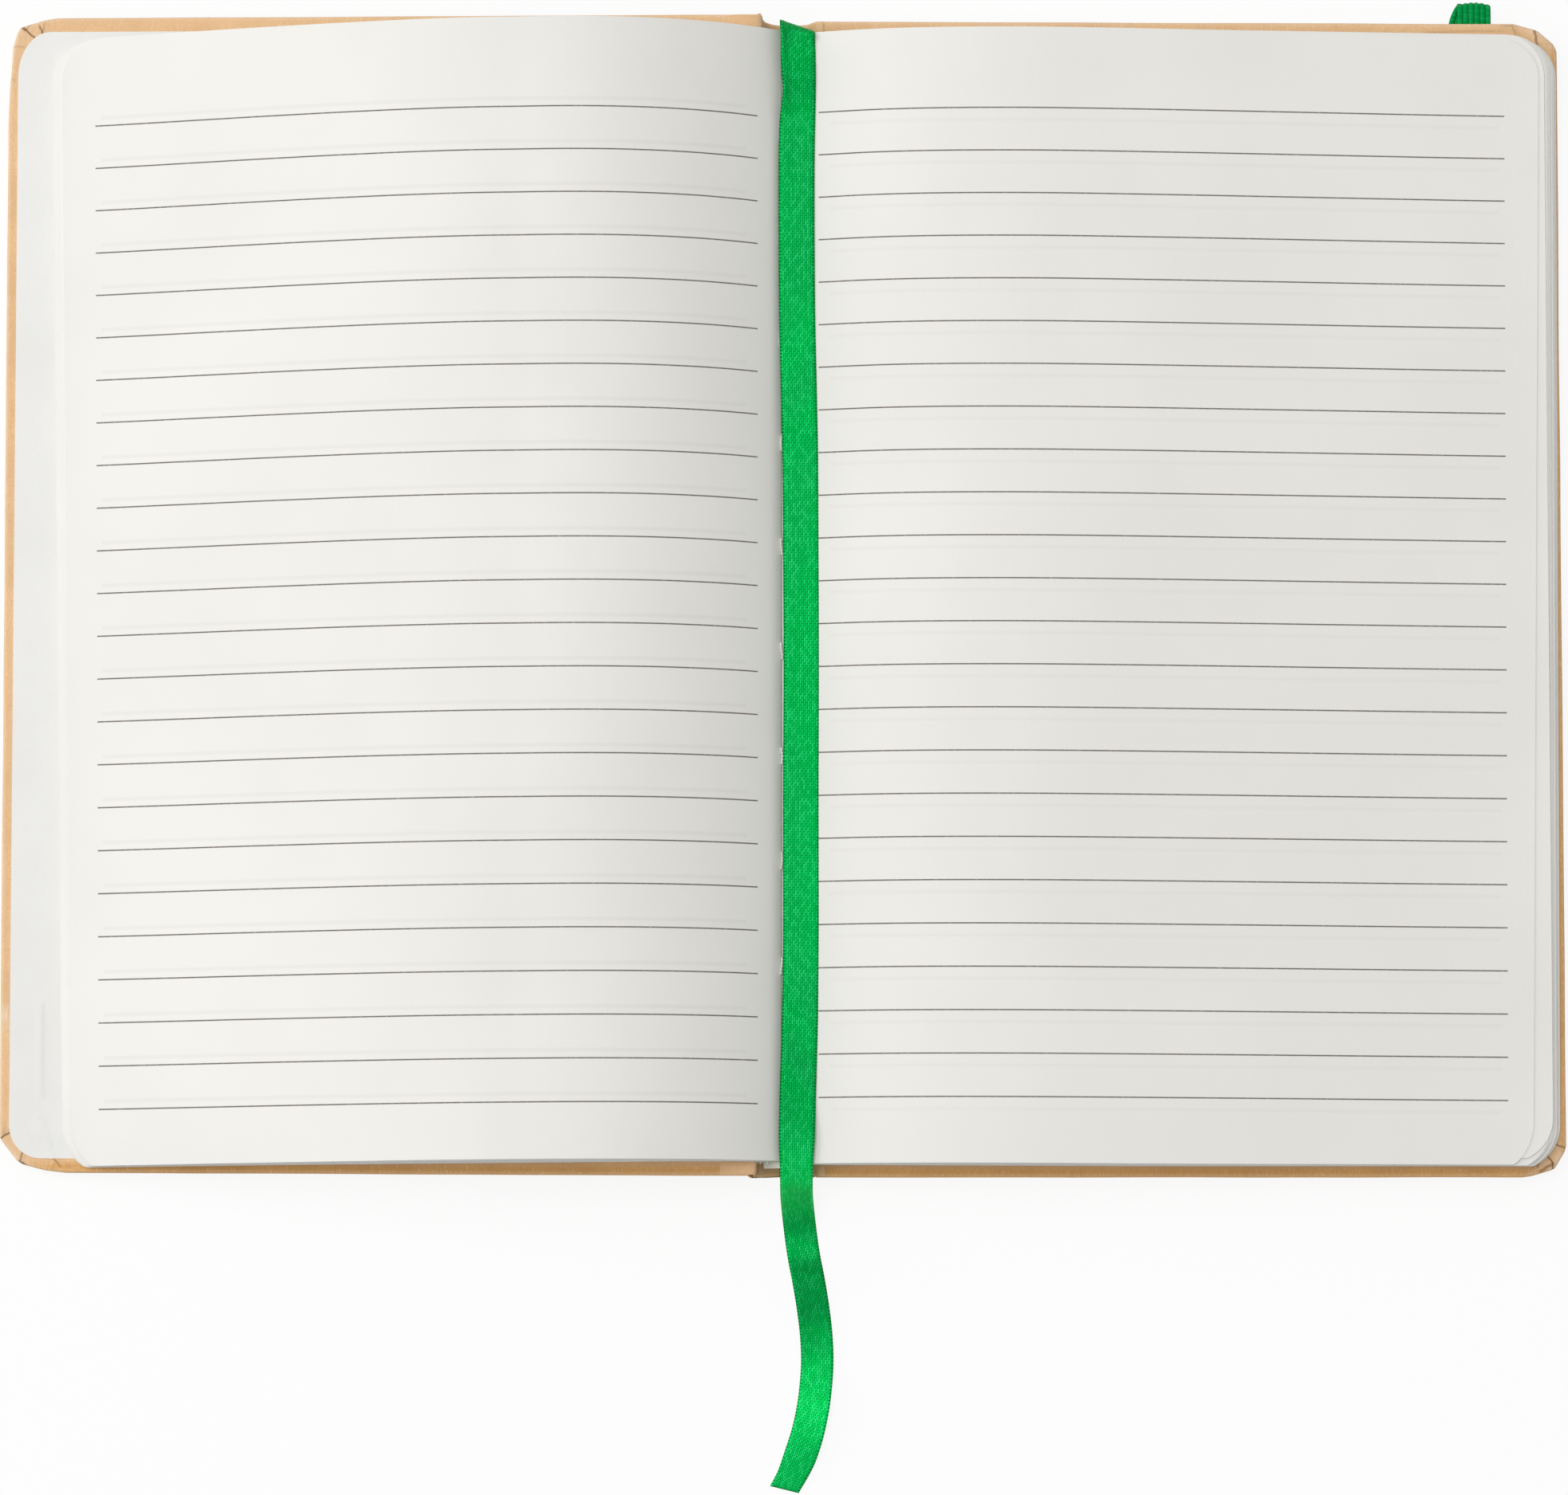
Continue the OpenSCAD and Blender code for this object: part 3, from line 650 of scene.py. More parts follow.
def layRibbon(look):
    # a strip with slightly thick selvedges, bent over the leaves' head edge on a slant
    path = roundedPath(ribbonRoute, look["stations"])
    path[:, 1] -= look["foldDrop"] * ribbonZone(path[:, 1], "dropped")
    a = np.linspace(-1, 1, look["across"])
    selvedge = 1 + 0.35 * bell(np.abs(a) - 0.9, 0.06)
    up = np.stack([a * look["width"] / 2, selvedge * look["thickness"] / 2 * np.sqrt(1 - 0.9 * a ** 16)], -1)
    section = np.concatenate([up, up[::-1] * (1, -1)])

    def bendOver(points, path):
        # crossing rows lean near the head fold and at the cut end; the right edge settles on the leaf
        y, middle = path[:, 1], path[:, :1]
        narrow = 1 - (1 - look["tailWidth"] / look["width"]) * ribbonZone(y, "loose")[:, None]
        points[..., 0] = middle + (points[..., 0] - middle) * narrow
        offset = points[..., 0] - middle
        points[..., 1] -= offset * look["foldSlant"] * ribbonZone(y, "folding")[:, None]
        onPage = ribbonZone(y, "pageHead") * ribbonZone(y, "pageTail")
        settle = look["settle"] * (1 + 0.6 * ribbonZone(y, "headSettle"))
        tilt = np.clip(offset / look["width"] + 0.5, 0, 1)
        points[..., 2] -= (settle * onPage)[:, None] * tilt
        curl = bell(y - 91 * mm, 4 * mm)[:, None] * smooth(1 - tilt * 3) * look["curl"]
        rolled = bell(y - 100 * mm, 3.5 * mm)[:, None] * smooth(1 - tilt * 4) * look["curl"]
        points[..., 0] += curl + 0.5 * rolled
        points[..., 2] += 0.6 * curl + 1.2 * rolled
        roll = np.interp(y, np.array(look["rollY"]) * mm, np.radians(look["rollDegrees"]))
        points[..., 2] += offset * np.tan(roll)[:, None]
        points[..., 1] -= offset * look["cutSlant"] * ribbonZone(y, "cutEnd")[:, None]
        points[..., 2] = np.maximum(points[..., 2], 0.01 * mm)
        return points

    # painted highlight and shade, carried as a mask on the ribbon's points
    paintedSheen = np.interp(path[:, 1], np.array(look["paintedSheenY"]) * mm, look["paintedSheen"])[:, None]
    masks = {"paintedSheen": np.broadcast_to(paintedSheen, (len(path), len(section)))}
    piece = sweepTube("ribbonMarker", path, np.array([1.0, 0, 0]), section, [satin], bendOver, masks)
    finishPiece(piece, "back_cover", ["ribbon_marker"])


layRibbon(ribbon)


print("shaping the leaves")
leaves = {"height": 204.6 * mm, "corner": 7.5 * mm, "tailRadius": 8.3 * mm, "tailTurn": 62,
          "gutterZ": 10 * mm, "backZ": 8.2 * mm, "foldX": 4.8 * mm, "over": 4 * mm, "landStep": 2 / 28,
          "bundles": 15, "bundleFill": 0.82, "arch": 281, "inner": 16, "middle": 34, "rounded": 19,
          "rows": 46,
          "foldGap": 0.08 * mm, "innerEnd": 20 * mm, "outerStart": 60 * mm, "trimOver": 75 * mm,
          "leanOver": 35 * mm, "waviness": 0.25 * mm, "waveSize": 70 * mm,
          "uneven": (0.22 * mm, 0.0012, 0.18 * mm)}          # of a bundle's reach, lean and drift
leftHalf = {"side": -1, "joint": "front_joint", "body": "front_cover", "seed": 3, "keep": 0.42, "shift": 0.0,
            "crest": (48 * mm, 25.8 * mm), "reach": 131 * mm,
            "rise": ((0.41, 1.28), (0.92, 1)), "fall": ((0.35, 1), (1, -0.35)), "stack": 3.8 * mm,
            "landX": 5.9 * mm, "fan": 2.4 * mm, "turn": 0.0063, "lineLean": 0.0113,
            "edgeLean": (0.0181, 0.0165), "topLean": 0.0165, "topReach": 128.6 * mm,
            "secondReach": 129.0 * mm, "lineEnd": 123.4 * mm, "trims": ((0, 0), (0, 0), (0, 0))}
rightHalf = {"side": 1, "joint": "spine_joint", "body": "back_cover", "seed": 4, "keep": 0.62,
             "shift": -0.45 * mm, "crest": (44 * mm, 17.7 * mm), "reach": 140 * mm,
             "rise": ((0.22, 0.01), (0.28, 1)), "fall": ((0.21, 1), (0.94, -0.28)), "stack": 4.8 * mm,
             "landX": 13 * mm, "fan": 1.8 * mm, "turn": 0.0040, "lineLean": 0.0041,
             "edgeLean": (0.0044, 0.0), "topLean": 0.0129, "topReach": 135.8 * mm,
             "secondReach": 138.06 * mm, "lineEnd": 130.4 * mm,
             "trims": ((0.3 * mm, 0.25 * mm), (0.3 * mm, 1.5 * mm), (-0.15 * mm, 0.3 * mm))}
paperLift = 0.15 * mm                          # the pastedown's thickness


def bezier(handles, t):
    # a cubic curve through four handles
    p = np.array(handles, float)
    t = t[:, None]
    return (1 - t) ** 3 * p[0] + 3 * t * (1 - t) ** 2 * p[1] + 3 * t * t * (1 - t) * p[2] + t ** 3 * p[3]


def coverFace(half, x):
    # height of the cover's inner face at distance x from the gutter
    joint, slope = (frontJoint, frontSlope) if half["side"] < 0 else (backJoint, 0.0)
    return joint[2] + (wrapThick + paperLift) / math.cos(slope) - (x - abs(joint[0])) * math.tan(slope)


def archLine(half, level):
    # x and height of the leaf at a level from 0 (lowest) to 1 (top), from the fold to past the outer edge
    t = np.linspace(0, 1, leaves["arch"])
    crestX, crestZ = half["crest"]
    gutterZ = leaves["gutterZ"]
    end = half["reach"] + leaves["over"]
    endZ = coverFace(half, end) + half["stack"]
    climb = [(crestX * a, gutterZ + (crestZ - gutterZ) * b) for a, b in half["rise"]]
    drop = [(crestX + (end - crestX) * a, endZ + (crestZ - endZ) * b) for a, b in half["fall"]]
    rising = bezier([(0, gutterZ)] + climb + [half["crest"]], np.minimum(t * 2, 1))
    falling = bezier([half["crest"]] + drop + [(end, endZ)], np.maximum(t * 2 - 1, 0))
    top = np.where((t < 0.5)[:, None], rising, falling)
    landed = np.interp(leaves["landStep"], t, top[:, 0])
    underX = half["landX"] + (end - half["landX"]) * np.clip((top[:, 0] - landed) / (end - landed), 0, 1)
    share = np.clip(t / leaves["landStep"], 0, 1)[:, None]
    fold = np.array([leaves["foldX"], leaves["backZ"]])
    under = fold + (np.stack([underX, coverFace(half, underX)], -1) - fold) * share
    return under + (top - under) * level


def leafGrid(half, level, reach, edgeLean, waviness, seed, shift, trim):
    # a leaf surface over its outline, whose head corner is a quarter round and tail corner a shorter arc;
    # returns points and UV (distance from the gutter, height on the leaf)
    line = archLine(half, level)
    start, innerEnd, outerStart = line[0, 0] + leaves["foldGap"], leaves["innerEnd"], leaves["outerStart"]
    r = leaves["corner"]
    inner = np.linspace(0, 1, leaves["inner"], endpoint=False) ** 1.4
    x = np.concatenate([start + (innerEnd - start) * inner,
                        np.linspace(innerEnd, reach - r, leaves["middle"], endpoint=False),
                        reach - r + r * np.sin(np.linspace(0, math.pi / 2, leaves["rounded"]))])
    high = leaves["height"] / 2 - r + np.sqrt(np.maximum(r * r - np.maximum(x - reach + r, 0) ** 2, 0))
    arc, turn = leaves["tailRadius"], math.radians(leaves["tailTurn"])
    inward = np.clip(reach - x, 0, arc * (1 - math.cos(turn)))
    low = -leaves["height"] / 2 + arc * math.sin(turn) - np.sqrt(arc ** 2 - (arc - inward) ** 2)
    outward = smooth((x - outerStart) / leaves["trimOver"])      # the trim moves the head and tail edge
    high = high + trim[0] * outward
    low = low + trim[1] * outward
    y = low + (high - low) * np.linspace(0, 1, leaves["rows"])[:, None]
    x = np.broadcast_to(x, y.shape)
    margin = smooth((x - half["lineEnd"]) / (reach - half["lineEnd"]))
    lean = half["lineLean"] * smooth(x / leaves["leanOver"]) + (edgeLean - half["lineLean"]) * margin
    across = x + y * lean
    z = np.interp(across, line[:, 0], line[:, 1])
    outer = smooth((x - outerStart) / (reach - outerStart))
    z = z + waviness * outer * (0.55 + 0.45 * ripple(x, y, leaves["waveSize"], seed)) * level
    points = np.stack([half["side"] * across, y + half["shift"] + shift - half["turn"] * x, z], -1)
    return points, np.stack([x, y], -1)


def makeLeaf(half, name, paper, levels, reach, lean, waviness, seed, shift, trim):
    # one leaf or bundle: a slab between two levels of the stack
    top, uv = leafGrid(half, levels[1], reach, lean, waviness, seed, shift, trim)
    bottom, _ = leafGrid(half, levels[0], reach, lean, waviness, seed, shift, trim)
    return makeSlab(name, top, bottom, [paper, leafEdges], uv, {"level": (levels[1], levels[0])})


def makeLeaves(half, name, ruled):
    # bundles of leaves from the cover up, each reaching a little less far, then the second and top leaf
    count = leaves["bundles"]
    pick = np.random.default_rng(half["seed"])
    made = []
    for i in range(count):
        levels = i / (count + 1), (i + leaves["bundleFill"]) / (count + 1)
        uneven = pick.uniform(-1, 1, 3) * leaves["uneven"]
        reach = half["reach"] - half["fan"] * (i / count) ** 1.3 + uneven[0]
        made.append(makeLeaf(half, f"{name}Leaves_{i + 1:02d}", plainLeaf, levels, reach,
                             half["edgeLean"][0] + uneven[1], 0.0, i, uneven[2], half["trims"][0]))
    last = count / (count + 1)
    for label, levels, reach, lean, paper, trim in (
            ("Second", (last, last + 0.035), half["secondReach"], half["edgeLean"][1], plainLeaf, 1),
            ("Top", (0.992, 1.0), half["topReach"], half["topLean"], ruled, 2)):
        made.append(makeLeaf(half, f"{name}{label}Leaf", paper, levels, reach, lean, leaves["waviness"], 5,
                             0.0, half["trims"][trim]))
    for i, piece in enumerate(made):
        third = min(3, 1 + 3 * i // len(made))
        finishPiece(piece, half["body"], [f"{name}_gather_{third}"])
        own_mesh(piece)


makeLeaves(leftHalf, "left", leftRuled)
makeLeaves(rightHalf, "right", rightRuled)


print("wrapping the covers")
# Corner points are (in from the outer edge, in from the head or tail edge), as the paper was folded.
# Creases are lines between two such points: (a, b, half width, how dark the painted shade is, ridge beside
# it).
cover = {"turnIn": 14 * mm, "edgeRound": 0.5 * mm, "outOfSquare": (1.0 * mm, 1.0 * mm),
         "backDrop": (-0.45 * mm, 0.0), "straightStep": 3 * mm, "cornerStep": 0.2 * mm,
         "grooveDepth": 0.16 * mm, "ridgeHeight": 0.16 * mm, "shrinkOver": 16 * mm, "paper": 0.25 * mm,
         "fineRings": (6 * mm, 0.7 * mm, 28), "wobble": 0.07 * mm, "ragged": 0.12 * mm, "edgeWear": 0.35,
         "cornerWear": 0.25, "spot": (-77 * mm, 0.9 * mm), "spotSize": (1.9 * mm, 0.7 * mm)}
backCorners = {
    "head": [(8, 0), (3.5, 1.25), (0.75, 3.6), (0.1, 4.7), (0, 5.6)],
    "tail": [(8, 0), (6.2, 0.25), (2.5, 1.35), (2, 1.7), (0.25, 4.65), (0, 5.8)]}
frontCorners = {
    "head": [(9, 0), (6.6, 0.35), (2.1, 1.7), (1.5, 2.7), (1.0, 4.4), (0.75, 5.5), (0.6, 8.2),
             (0.25, 13), (0, 20)],
    "tail": [(12, 0), (8.1, 0.45), (4.3, 1.4), (3.2, 2.1), (0.3, 5.7), (0, 6.4)]}
backCreases = {
    "head": [((8.2, 0.2), (7.5, 1.9), 0.13, 0.6, 1), ((3.95, 1.3), (3.6, 3.8), 0.16, 0.9, -1),
             ((3.6, 3.8), (0.6, 3.9), 0.1, 0.1, 1), ((9.6, 1.3), (24, 1.7), 0.22, 0.25, 0.3)],
    "tail": [((2.5, 6.1), (0.4, 5.3), 0.12, 0.95, 1), ((3.9, 4.6), (2.5, 2.5), 0.14, 1.0, -1),
             ((2.5, 2.5), (2.5, 1.5), 0.18, 1.0, -1), ((2.7, 2.3), (4.7, 1.05), 0.26, 0.75, 1),
             ((1.3, 9.7), (0.1, 8.9), 0.12, 0.25, 1), ((5.2, 1.9), (5.0, 3.0), 0.14, 0.6, 1),
             ((6.0, 1.8), (5.9, 2.3), 0.12, 0.5, 0)]}
frontCreases = {
    "head": [((2.2, 1.6), (5.2, 3.9), 0.13, 1.0, 1), ((2.3, 1.5), (3.1, 2.2), 0.24, 0.9, 0),
             ((5.7, 1.6), (6.4, 3.1), 0.13, 0.9, 1), ((5.3, 1.2), (5.6, 2.6), 0.2, 0.1, -1),
             ((0.8, 5.2), (2.8, 5.3), 0.11, 0.35, 1), ((0.1, 11.3), (0.9, 11.3), 0.12, 0.35, 1),
             ((3.0, 2.3), (4.1, 1.1), 0.14, 0.3, -1), ((6.6, 1.0), (6.4, 2.2), 0.12, 0.1, 1)],
    "tail": [((0.2, 6.1), (2.2, 7.3), 0.12, 1.0, 1), ((3.8, 2.0), (4.6, 4.3), 0.14, 1.0, -1),
             ((3.8, 1.9), (4.8, 1.2), 0.26, 0.95, 0), ((9.2, 1.1), (9.9, 2.6), 0.16, 0.1, -1),
             ((10.0, 2.5), (11.1, 1.2), 0.12, 0.8, 1), ((12.1, 1.9), (12.4, 0.4), 0.2, 0.2, 1),
             ((13.2, 2.6), (13.0, 1.4), 0.15, 0.2, -1)]}


def foldedCorner(points):
    # a corner's chain of flat facets, resampled evenly, its creases eased by a short moving mean
    chain = np.array(points, float) * mm
    along = runLength(chain)
    even = np.linspace(0, along[-1], int(along[-1] / cover["cornerStep"]) + 1)
    fine = np.stack([np.interp(even, along, chain[:, i]) for i in range(2)], -1)
    padded = np.concatenate([fine[:1]] * 2 + [fine] + [fine[-1:]] * 2)
    return sum(padded[i:i + len(fine)] for i in range(5)) / 5


def coverOutline(inset, corners):
    # the cover's outline at an inset: from the joint along the head, down the outer edge and back along
    # the tail; the corners shrink as the inset grows
    shrink = 1 - inset / cover["shrinkOver"]
    head, tail = (foldedCorner(corners[end]) * shrink for end in ("head", "tail"))
    right, top = coverWidth - inset, coverHalf - inset
    count = int(coverWidth / cover["straightStep"])
    sideCount = int(2 * coverHalf / cover["straightStep"])
    headLine = np.stack([np.linspace(0, right - head[0, 0], count, endpoint=False), np.full(count, top)], -1)
    sideLine = np.stack([np.full(sideCount - 1, right),
                         np.linspace(top - head[-1, 1], -top + tail[-1, 1], sideCount + 1)[1:-1]], -1)
    tailLine = np.stack([np.linspace(right - tail[0, 0], 0, count + 1)[1:], np.full(count, -top)], -1)
    headCorner, tailCorner = [right, top] - head, [right, -top] + tail[::-1] * (-1, 1)
    return np.concatenate([headLine, headCorner, sideLine, tailCorner, tailLine])


def creaseField(dx, dy, creases):
    # depth and painted shade near each crease: bell curves of the distance to its line, with a ridge on one
    # side
    depth, paintedShade = np.zeros(dx.shape), np.zeros(dx.shape)
    for a, b, width, shade, ridge in creases:
        start, end = np.array(a) * mm, np.array(b) * mm
        length = np.linalg.norm(end - start)
        ux, uy = (end - start) / length
        t = np.clip(((dx - start[0]) * ux + (dy - start[1]) * uy) / length, 0, 1)
        awayX, awayY = dx - start[0] - ux * t * length, dy - start[1] - uy * t * length
        wander = 0.06 * mm * np.sin(t * 9 + a[0] * 5)
        signed = awayX * -uy + awayY * ux + wander
        beyond = np.hypot(awayX - signed * -uy, awayY - signed * ux)
        near = bell(signed, width * mm) * bell(beyond, 0.3 * mm)
        depth -= cover["grooveDepth"] * near * shade
        beside = bell(signed * np.sign(ridge) - 2.2 * width * mm, 1.8 * width * mm)
        depth += cover["ridgeHeight"] * abs(ridge) * beside * bell(beyond, 0.4 * mm)
        paintedShade = np.maximum(paintedShade, near * shade)
    return depth, paintedShade


def leaned(s, y, lean):
    # a cover a little out of square: its head and tail edge each shift, more towards the outer edge
    head = 0.5 + y / (2 * coverHalf)
    return y + (lean[0] * head + lean[1] * (1 - head)) * s / coverWidth


def makeCover(name, place, lean, body, nodes, corners, creases, seed):
    # a section (inset, height) carried round the outline: turn-in, rounded edge, side, edge, outer face
    e, t = cover["edgeRound"], wrapThick
    bend = np.linspace(0, math.pi / 2, 6)
    upper = np.stack([e - e * np.sin(bend), t - e + e * np.cos(bend)], -1)
    lower = np.stack([upper[::-1, 0], t - upper[::-1, 1]], -1)
    face = [(inset, t) for inset in (cover["turnIn"], 10 * mm, 7.5 * mm, *np.linspace(*cover["fineRings"]))]
    section = np.concatenate([face, upper, [(0, t / 2)], lower, [(3 * mm, 0), (cover["turnIn"], 0)]])
    rings = np.stack([coverOutline(inset, corners) for inset, _ in section])
    s, y = rings[..., 0], rings[..., 1]
    h = np.broadcast_to(section[:, 1:], s.shape).copy()
    inset = np.broadcast_to(section[:, :1], s.shape)
    onTop = smooth((h - 0.75 * t) / (0.2 * t))
    wobble = ripple(s, y, 30 * mm, seed) + 0.4 * ripple(s, y, 8 * mm, seed + 1)
    depth, paintedShade = np.zeros(s.shape), np.zeros(s.shape)
    for end, sign in (("head", 1), ("tail", -1)):
        d, k = creaseField(coverWidth - s, coverHalf - sign * y, creases[end])
        depth += d
        paintedShade = np.maximum(paintedShade, k)
    fade = smooth((8 * mm - inset) / (3 * mm))
    h += onTop * fade * (wobble * cover["wobble"] + depth)
    rim = cover["ragged"] * np.exp(-inset / (2.5 * mm))
    nearEnd = np.abs(y) > coverHalf - 7 * mm
    y = y - np.sign(y) * np.abs(ripple(s, 0 * s, 45 * mm, seed + 2)) * rim * nearEnd
    s = s - np.abs(ripple(y, 0 * s, 60 * mm, seed + 3)) * rim * (s > coverWidth - 7 * mm)
    points = place(s, leaned(s, y, lean), h)
    rows, columns = points.shape[:2]
    caps = [np.arange(columns)[::-1], np.arange((rows - 1) * columns, rows * columns)]
    rubbed = cover["edgeWear"] * bell(inset - 0.25 * mm, 0.35 * mm) * onTop
    offCorner = np.hypot(coverWidth - s - 2 * mm, coverHalf - np.abs(y) - 2 * mm)
    rubbed += cover["cornerWear"] * bell(offCorner, 5 * mm) * onTop
    quads = gridFaces(rows, columns)
    paintedShadow = smooth((2.6 * mm - coverHalf - y) / (2.0 * mm))     # painted shadow: the tail edge, and on the back cover the right edge, take a darker, more saturated brown where the light falls off
    if place is onFront:                           # mirrored, with a greyish rubbed spot on the outer border
        quads, caps = quads[:, ::-1], [cap[::-1] for cap in caps]
        (spotY, spotIn), (spotLong, spotWide) = cover["spot"], cover["spotSize"]
        rubbed += 1.1 * bell(y - spotY, spotLong) * bell(coverWidth - s - spotIn, spotWide)
    else:
        # painted shadow on the back cover's right edge as well
        paintedShadow = np.maximum(paintedShadow, smooth((s - coverWidth + 1.6 * mm) / (1.2 * mm)))
    # the crease mask carries painted shade along the folds
    masks = {"wear": np.clip(rubbed, 0, 1), "crease": paintedShade * onTop, "paintedShadow": paintedShadow}
    piece = makeMesh(name, points, quads, [kraft], caps, masks=masks, closed=False)
    return finishPiece(piece, body, nodes)


def makeBoard(name, place, lean, body, node, corners):
    # the stiff board inside the paper: the cover's outline at a small inset, straight up between two faces
    rim = coverOutline(cover["paper"], corners)
    s, y = rim[:, 0], leaned(rim[:, 0], rim[:, 1], lean)
    points = np.stack([place(s, y, h) for h in (cover["paper"], wrapThick - cover["paper"])])
    count = len(rim)
    caps = [np.arange(count)[::-1], np.arange(count, 2 * count)]
    piece = makeMesh(name, points, gridFaces(2, count, wrap=True), [greyBoard], caps)
    return finishPiece(piece, body, [node])


makeCover("backCoverKraft", onBack, cover["backDrop"], "back_cover", ["back_cover_paper"], backCorners,
          backCreases, 11)
makeCover("frontCoverKraft", onFront, cover["outOfSquare"], "front_cover", ["front_cover_paper"],
          frontCorners, frontCreases, 21)
makeBoard("backBoard", onBack, cover["backDrop"], "back_cover", "back_board", backCorners)
makeBoard("frontBoard", onFront, cover["outOfSquare"], "front_cover", "front_board", frontCorners)


print("pasting the endpapers")
endsheet = {"thickness": 0.15 * mm, "joint": 0.2 * mm, "rows": 140, "columns": 120, "uneven": 0.05 * mm,
            "overTurnIn": 0.06 * mm, "sink": 0.05 * mm}
frontSheet = {"edge": 1.85 * mm, "head": 2.65 * mm, "tail": 2.5 * mm, "headCorner": (5.9 * mm, 8.4 * mm),
              "tailCorner": (5.8 * mm, 6.0 * mm)}
backSheet = {"edge": 2.2 * mm, "head": 2.5 * mm, "tail": 2.5 * mm, "headCorner": (7 * mm, 7 * mm),
             "tailCorner": (7 * mm, 7 * mm)}
sheetCreases = [((8.2, 9.9), (10.0, 3.2), 0.3, 0.35, 1), ((7.4, 10.2), (8.6, 9.4), 0.25, 0.25, -1),
                ((5.6, 7.2), (6.4, 5.6), 0.4, 0.15, 1), ((8.0, 30.0), (8.1, 13.5), 0.3, 0.3, -1)]


def roundedEnd(x, edge, corner):
    # how far an elliptic corner pulls the edge in at x: ry - ry sqrt(1 - ((x - edge + rx) / rx)^2)
    rx, ry = corner
    return ry - ry * np.sqrt(np.maximum(1 - (np.maximum(x - edge + rx, 0) / rx) ** 2, 0))


def pasteSheet(name, place, lean, body, node, look, creases, seed):
    # a thin sheet on the cover's inner face, its height gently uneven over the turn-ins and glue
    edge = coverWidth - look["edge"]
    u = np.linspace(0, 1, endsheet["columns"])
    s = endsheet["joint"] + (edge - endsheet["joint"]) * np.sin(u * math.pi / 2)
    v = np.linspace(0, 1, endsheet["rows"])
    v = 0.5 - 0.5 * np.cos(v * math.pi)
    low = -coverHalf + look["tail"] + roundedEnd(s, edge, look["tailCorner"])
    high = coverHalf - look["head"] - roundedEnd(s, edge, look["headCorner"])
    y = low[None] + (high - low)[None] * v[:, None]
    s = np.broadcast_to(s, y.shape)
    depth, paintedShade = creaseField(coverWidth - s, coverHalf + y, creases)
    step = smooth((cover["turnIn"] - (coverWidth - s)) / (3 * mm))
    h = wrapThick + endsheet["thickness"] + endsheet["uneven"] * ripple(s, y, 34 * mm, seed)
    h = h + 0.6 * depth + endsheet["overTurnIn"] * step
    slant = leaned(s, y, lean)
    under = place(s, slant, np.full(y.shape, wrapThick - endsheet["sink"]))
    # the crease mask carries painted shade along the endpaper's folds
    piece = makeSlab(name, place(s, slant, h), under, [endpaper], masks={"crease": paintedShade})
    finishPiece(piece, body, [node])


pasteSheet("backEndpaper", onBack, cover["backDrop"], "back_cover", "back_pastedown", backSheet, [], 31)
pasteSheet("frontEndpaper", onFront, cover["outOfSquare"], "front_cover", "front_pastedown",
           frontSheet, sheetCreases, 41)


print("folding the spine paper")
spine = {"thickness": 0.2 * mm, "headDip": 0.1 * mm, "tailDip": 0.15 * mm, "dipWidth": 3.6 * mm,
         "turnIn": 14 * mm, "roll": 0.5 * mm, "stripLow": 0.22 * mm, "stripHigh": 0.88 * mm,
         "stripHalf": 5.4 * mm, "stripShort": 1.6 * mm, "turnInShort": 0.12 * mm, "uneven": 0.05 * mm,
         "edgeDrop": 0.25 * mm, "dropOver": 0.5 * mm, "earX": -3.75 * mm, "earWide": 0.5 * mm}
# Fold lines are (x, z) points in mm, seen from the tail.
spineLine = [(-6.25, 9.5), (-6.1, 9.0), (-6.1, 6.5), (-6.1, 3.6), (-6.05, 1.5), (-5.7, 0.45), (-4.7, 0.06),
             (-2.4, 0.0), (0, 0.0), (2.4, 0.0), (4.7, 0.06), (5.7, 0.4), (6.05, 1.2), (6.1, 1.8),
             (6.15, 2.35)]


def edgeDip(x, end):
    # how far the soft spine's head or tail edge is pulled in between the stiff boards
    depth = spine["headDip"] if end > 0 else spine["tailDip"]
    return depth * bell(x - 0.5 * mm, spine["dipWidth"])


def foldLine(points, count):
    # a smooth line through (x, z) points, with its upward unit normals
    line = roundedPath(np.array([(x, 0, z) for x, z in points]) * mm, count)
    ahead = unit(np.gradient(line, axis=0))
    normal = np.stack([-ahead[:, 2], 0 * ahead[:, 0], ahead[:, 0]], -1)
    return line, normal


def makeSpinePaper():
    # the outer paper: a U-shaped line swept from head to tail, its ends rolled inwards
    line, normal = foldLine(spineLine, 90)
    line[:, 2] = np.maximum(line[:, 2], 0)
    v = np.linspace(-1, 1, 150)
    v = np.sign(v) * (1 - (1 - np.abs(v)) ** 1.6)
    end = np.where(v >= 0, 1, -1)
    reach = coverHalf - np.stack([edgeDip(line[:, 0], sign) for sign in end])
    y = v[:, None] * reach
    left = reach - np.abs(y)
    rolled = spine["roll"] * (1 - np.sqrt(1 - np.clip(1 - left / spine["roll"], 0, 1) ** 2))
    creased = 0.03 * mm * ripple(line[None, :, 0] * 3, y, 12 * mm, 51)
    shift = (rolled + np.maximum(creased, 0))[..., None] * normal[None]
    outer = line[None] + shift + np.stack([0 * y, y, 0 * y], -1)
    inner = outer + normal[None] * spine["thickness"]
    # painted shadow: the whole spine paper takes the darker brown of the shaded hollow
    piece = makeSlab("spineKraft", inner, outer, [kraft], masks={"crease": 0, "wear": 0, "paintedShadow": 1})
    finishPiece(piece, "spine", ["spine_paper"])


def makeSpineStrip():
    # the stiffener between the two layers of paper, cut a little short at both ends
    x = np.linspace(-spine["stripHalf"], spine["stripHalf"], 30)
    y = np.linspace(-1, 1, 60)[:, None] * (coverHalf - spine["stripShort"]) + 0 * x
    x = x + 0 * y
    low = np.stack([x, y, 0 * y + spine["stripLow"]], -1)
    high = np.stack([x, y, spine["stripHigh"] + 0.02 * mm * ripple(x, y, 5 * mm, 52)], -1)
    finishPiece(makeSlab("spineStrip", high, low, [greyBoard]), "spine", ["spine_strip"])


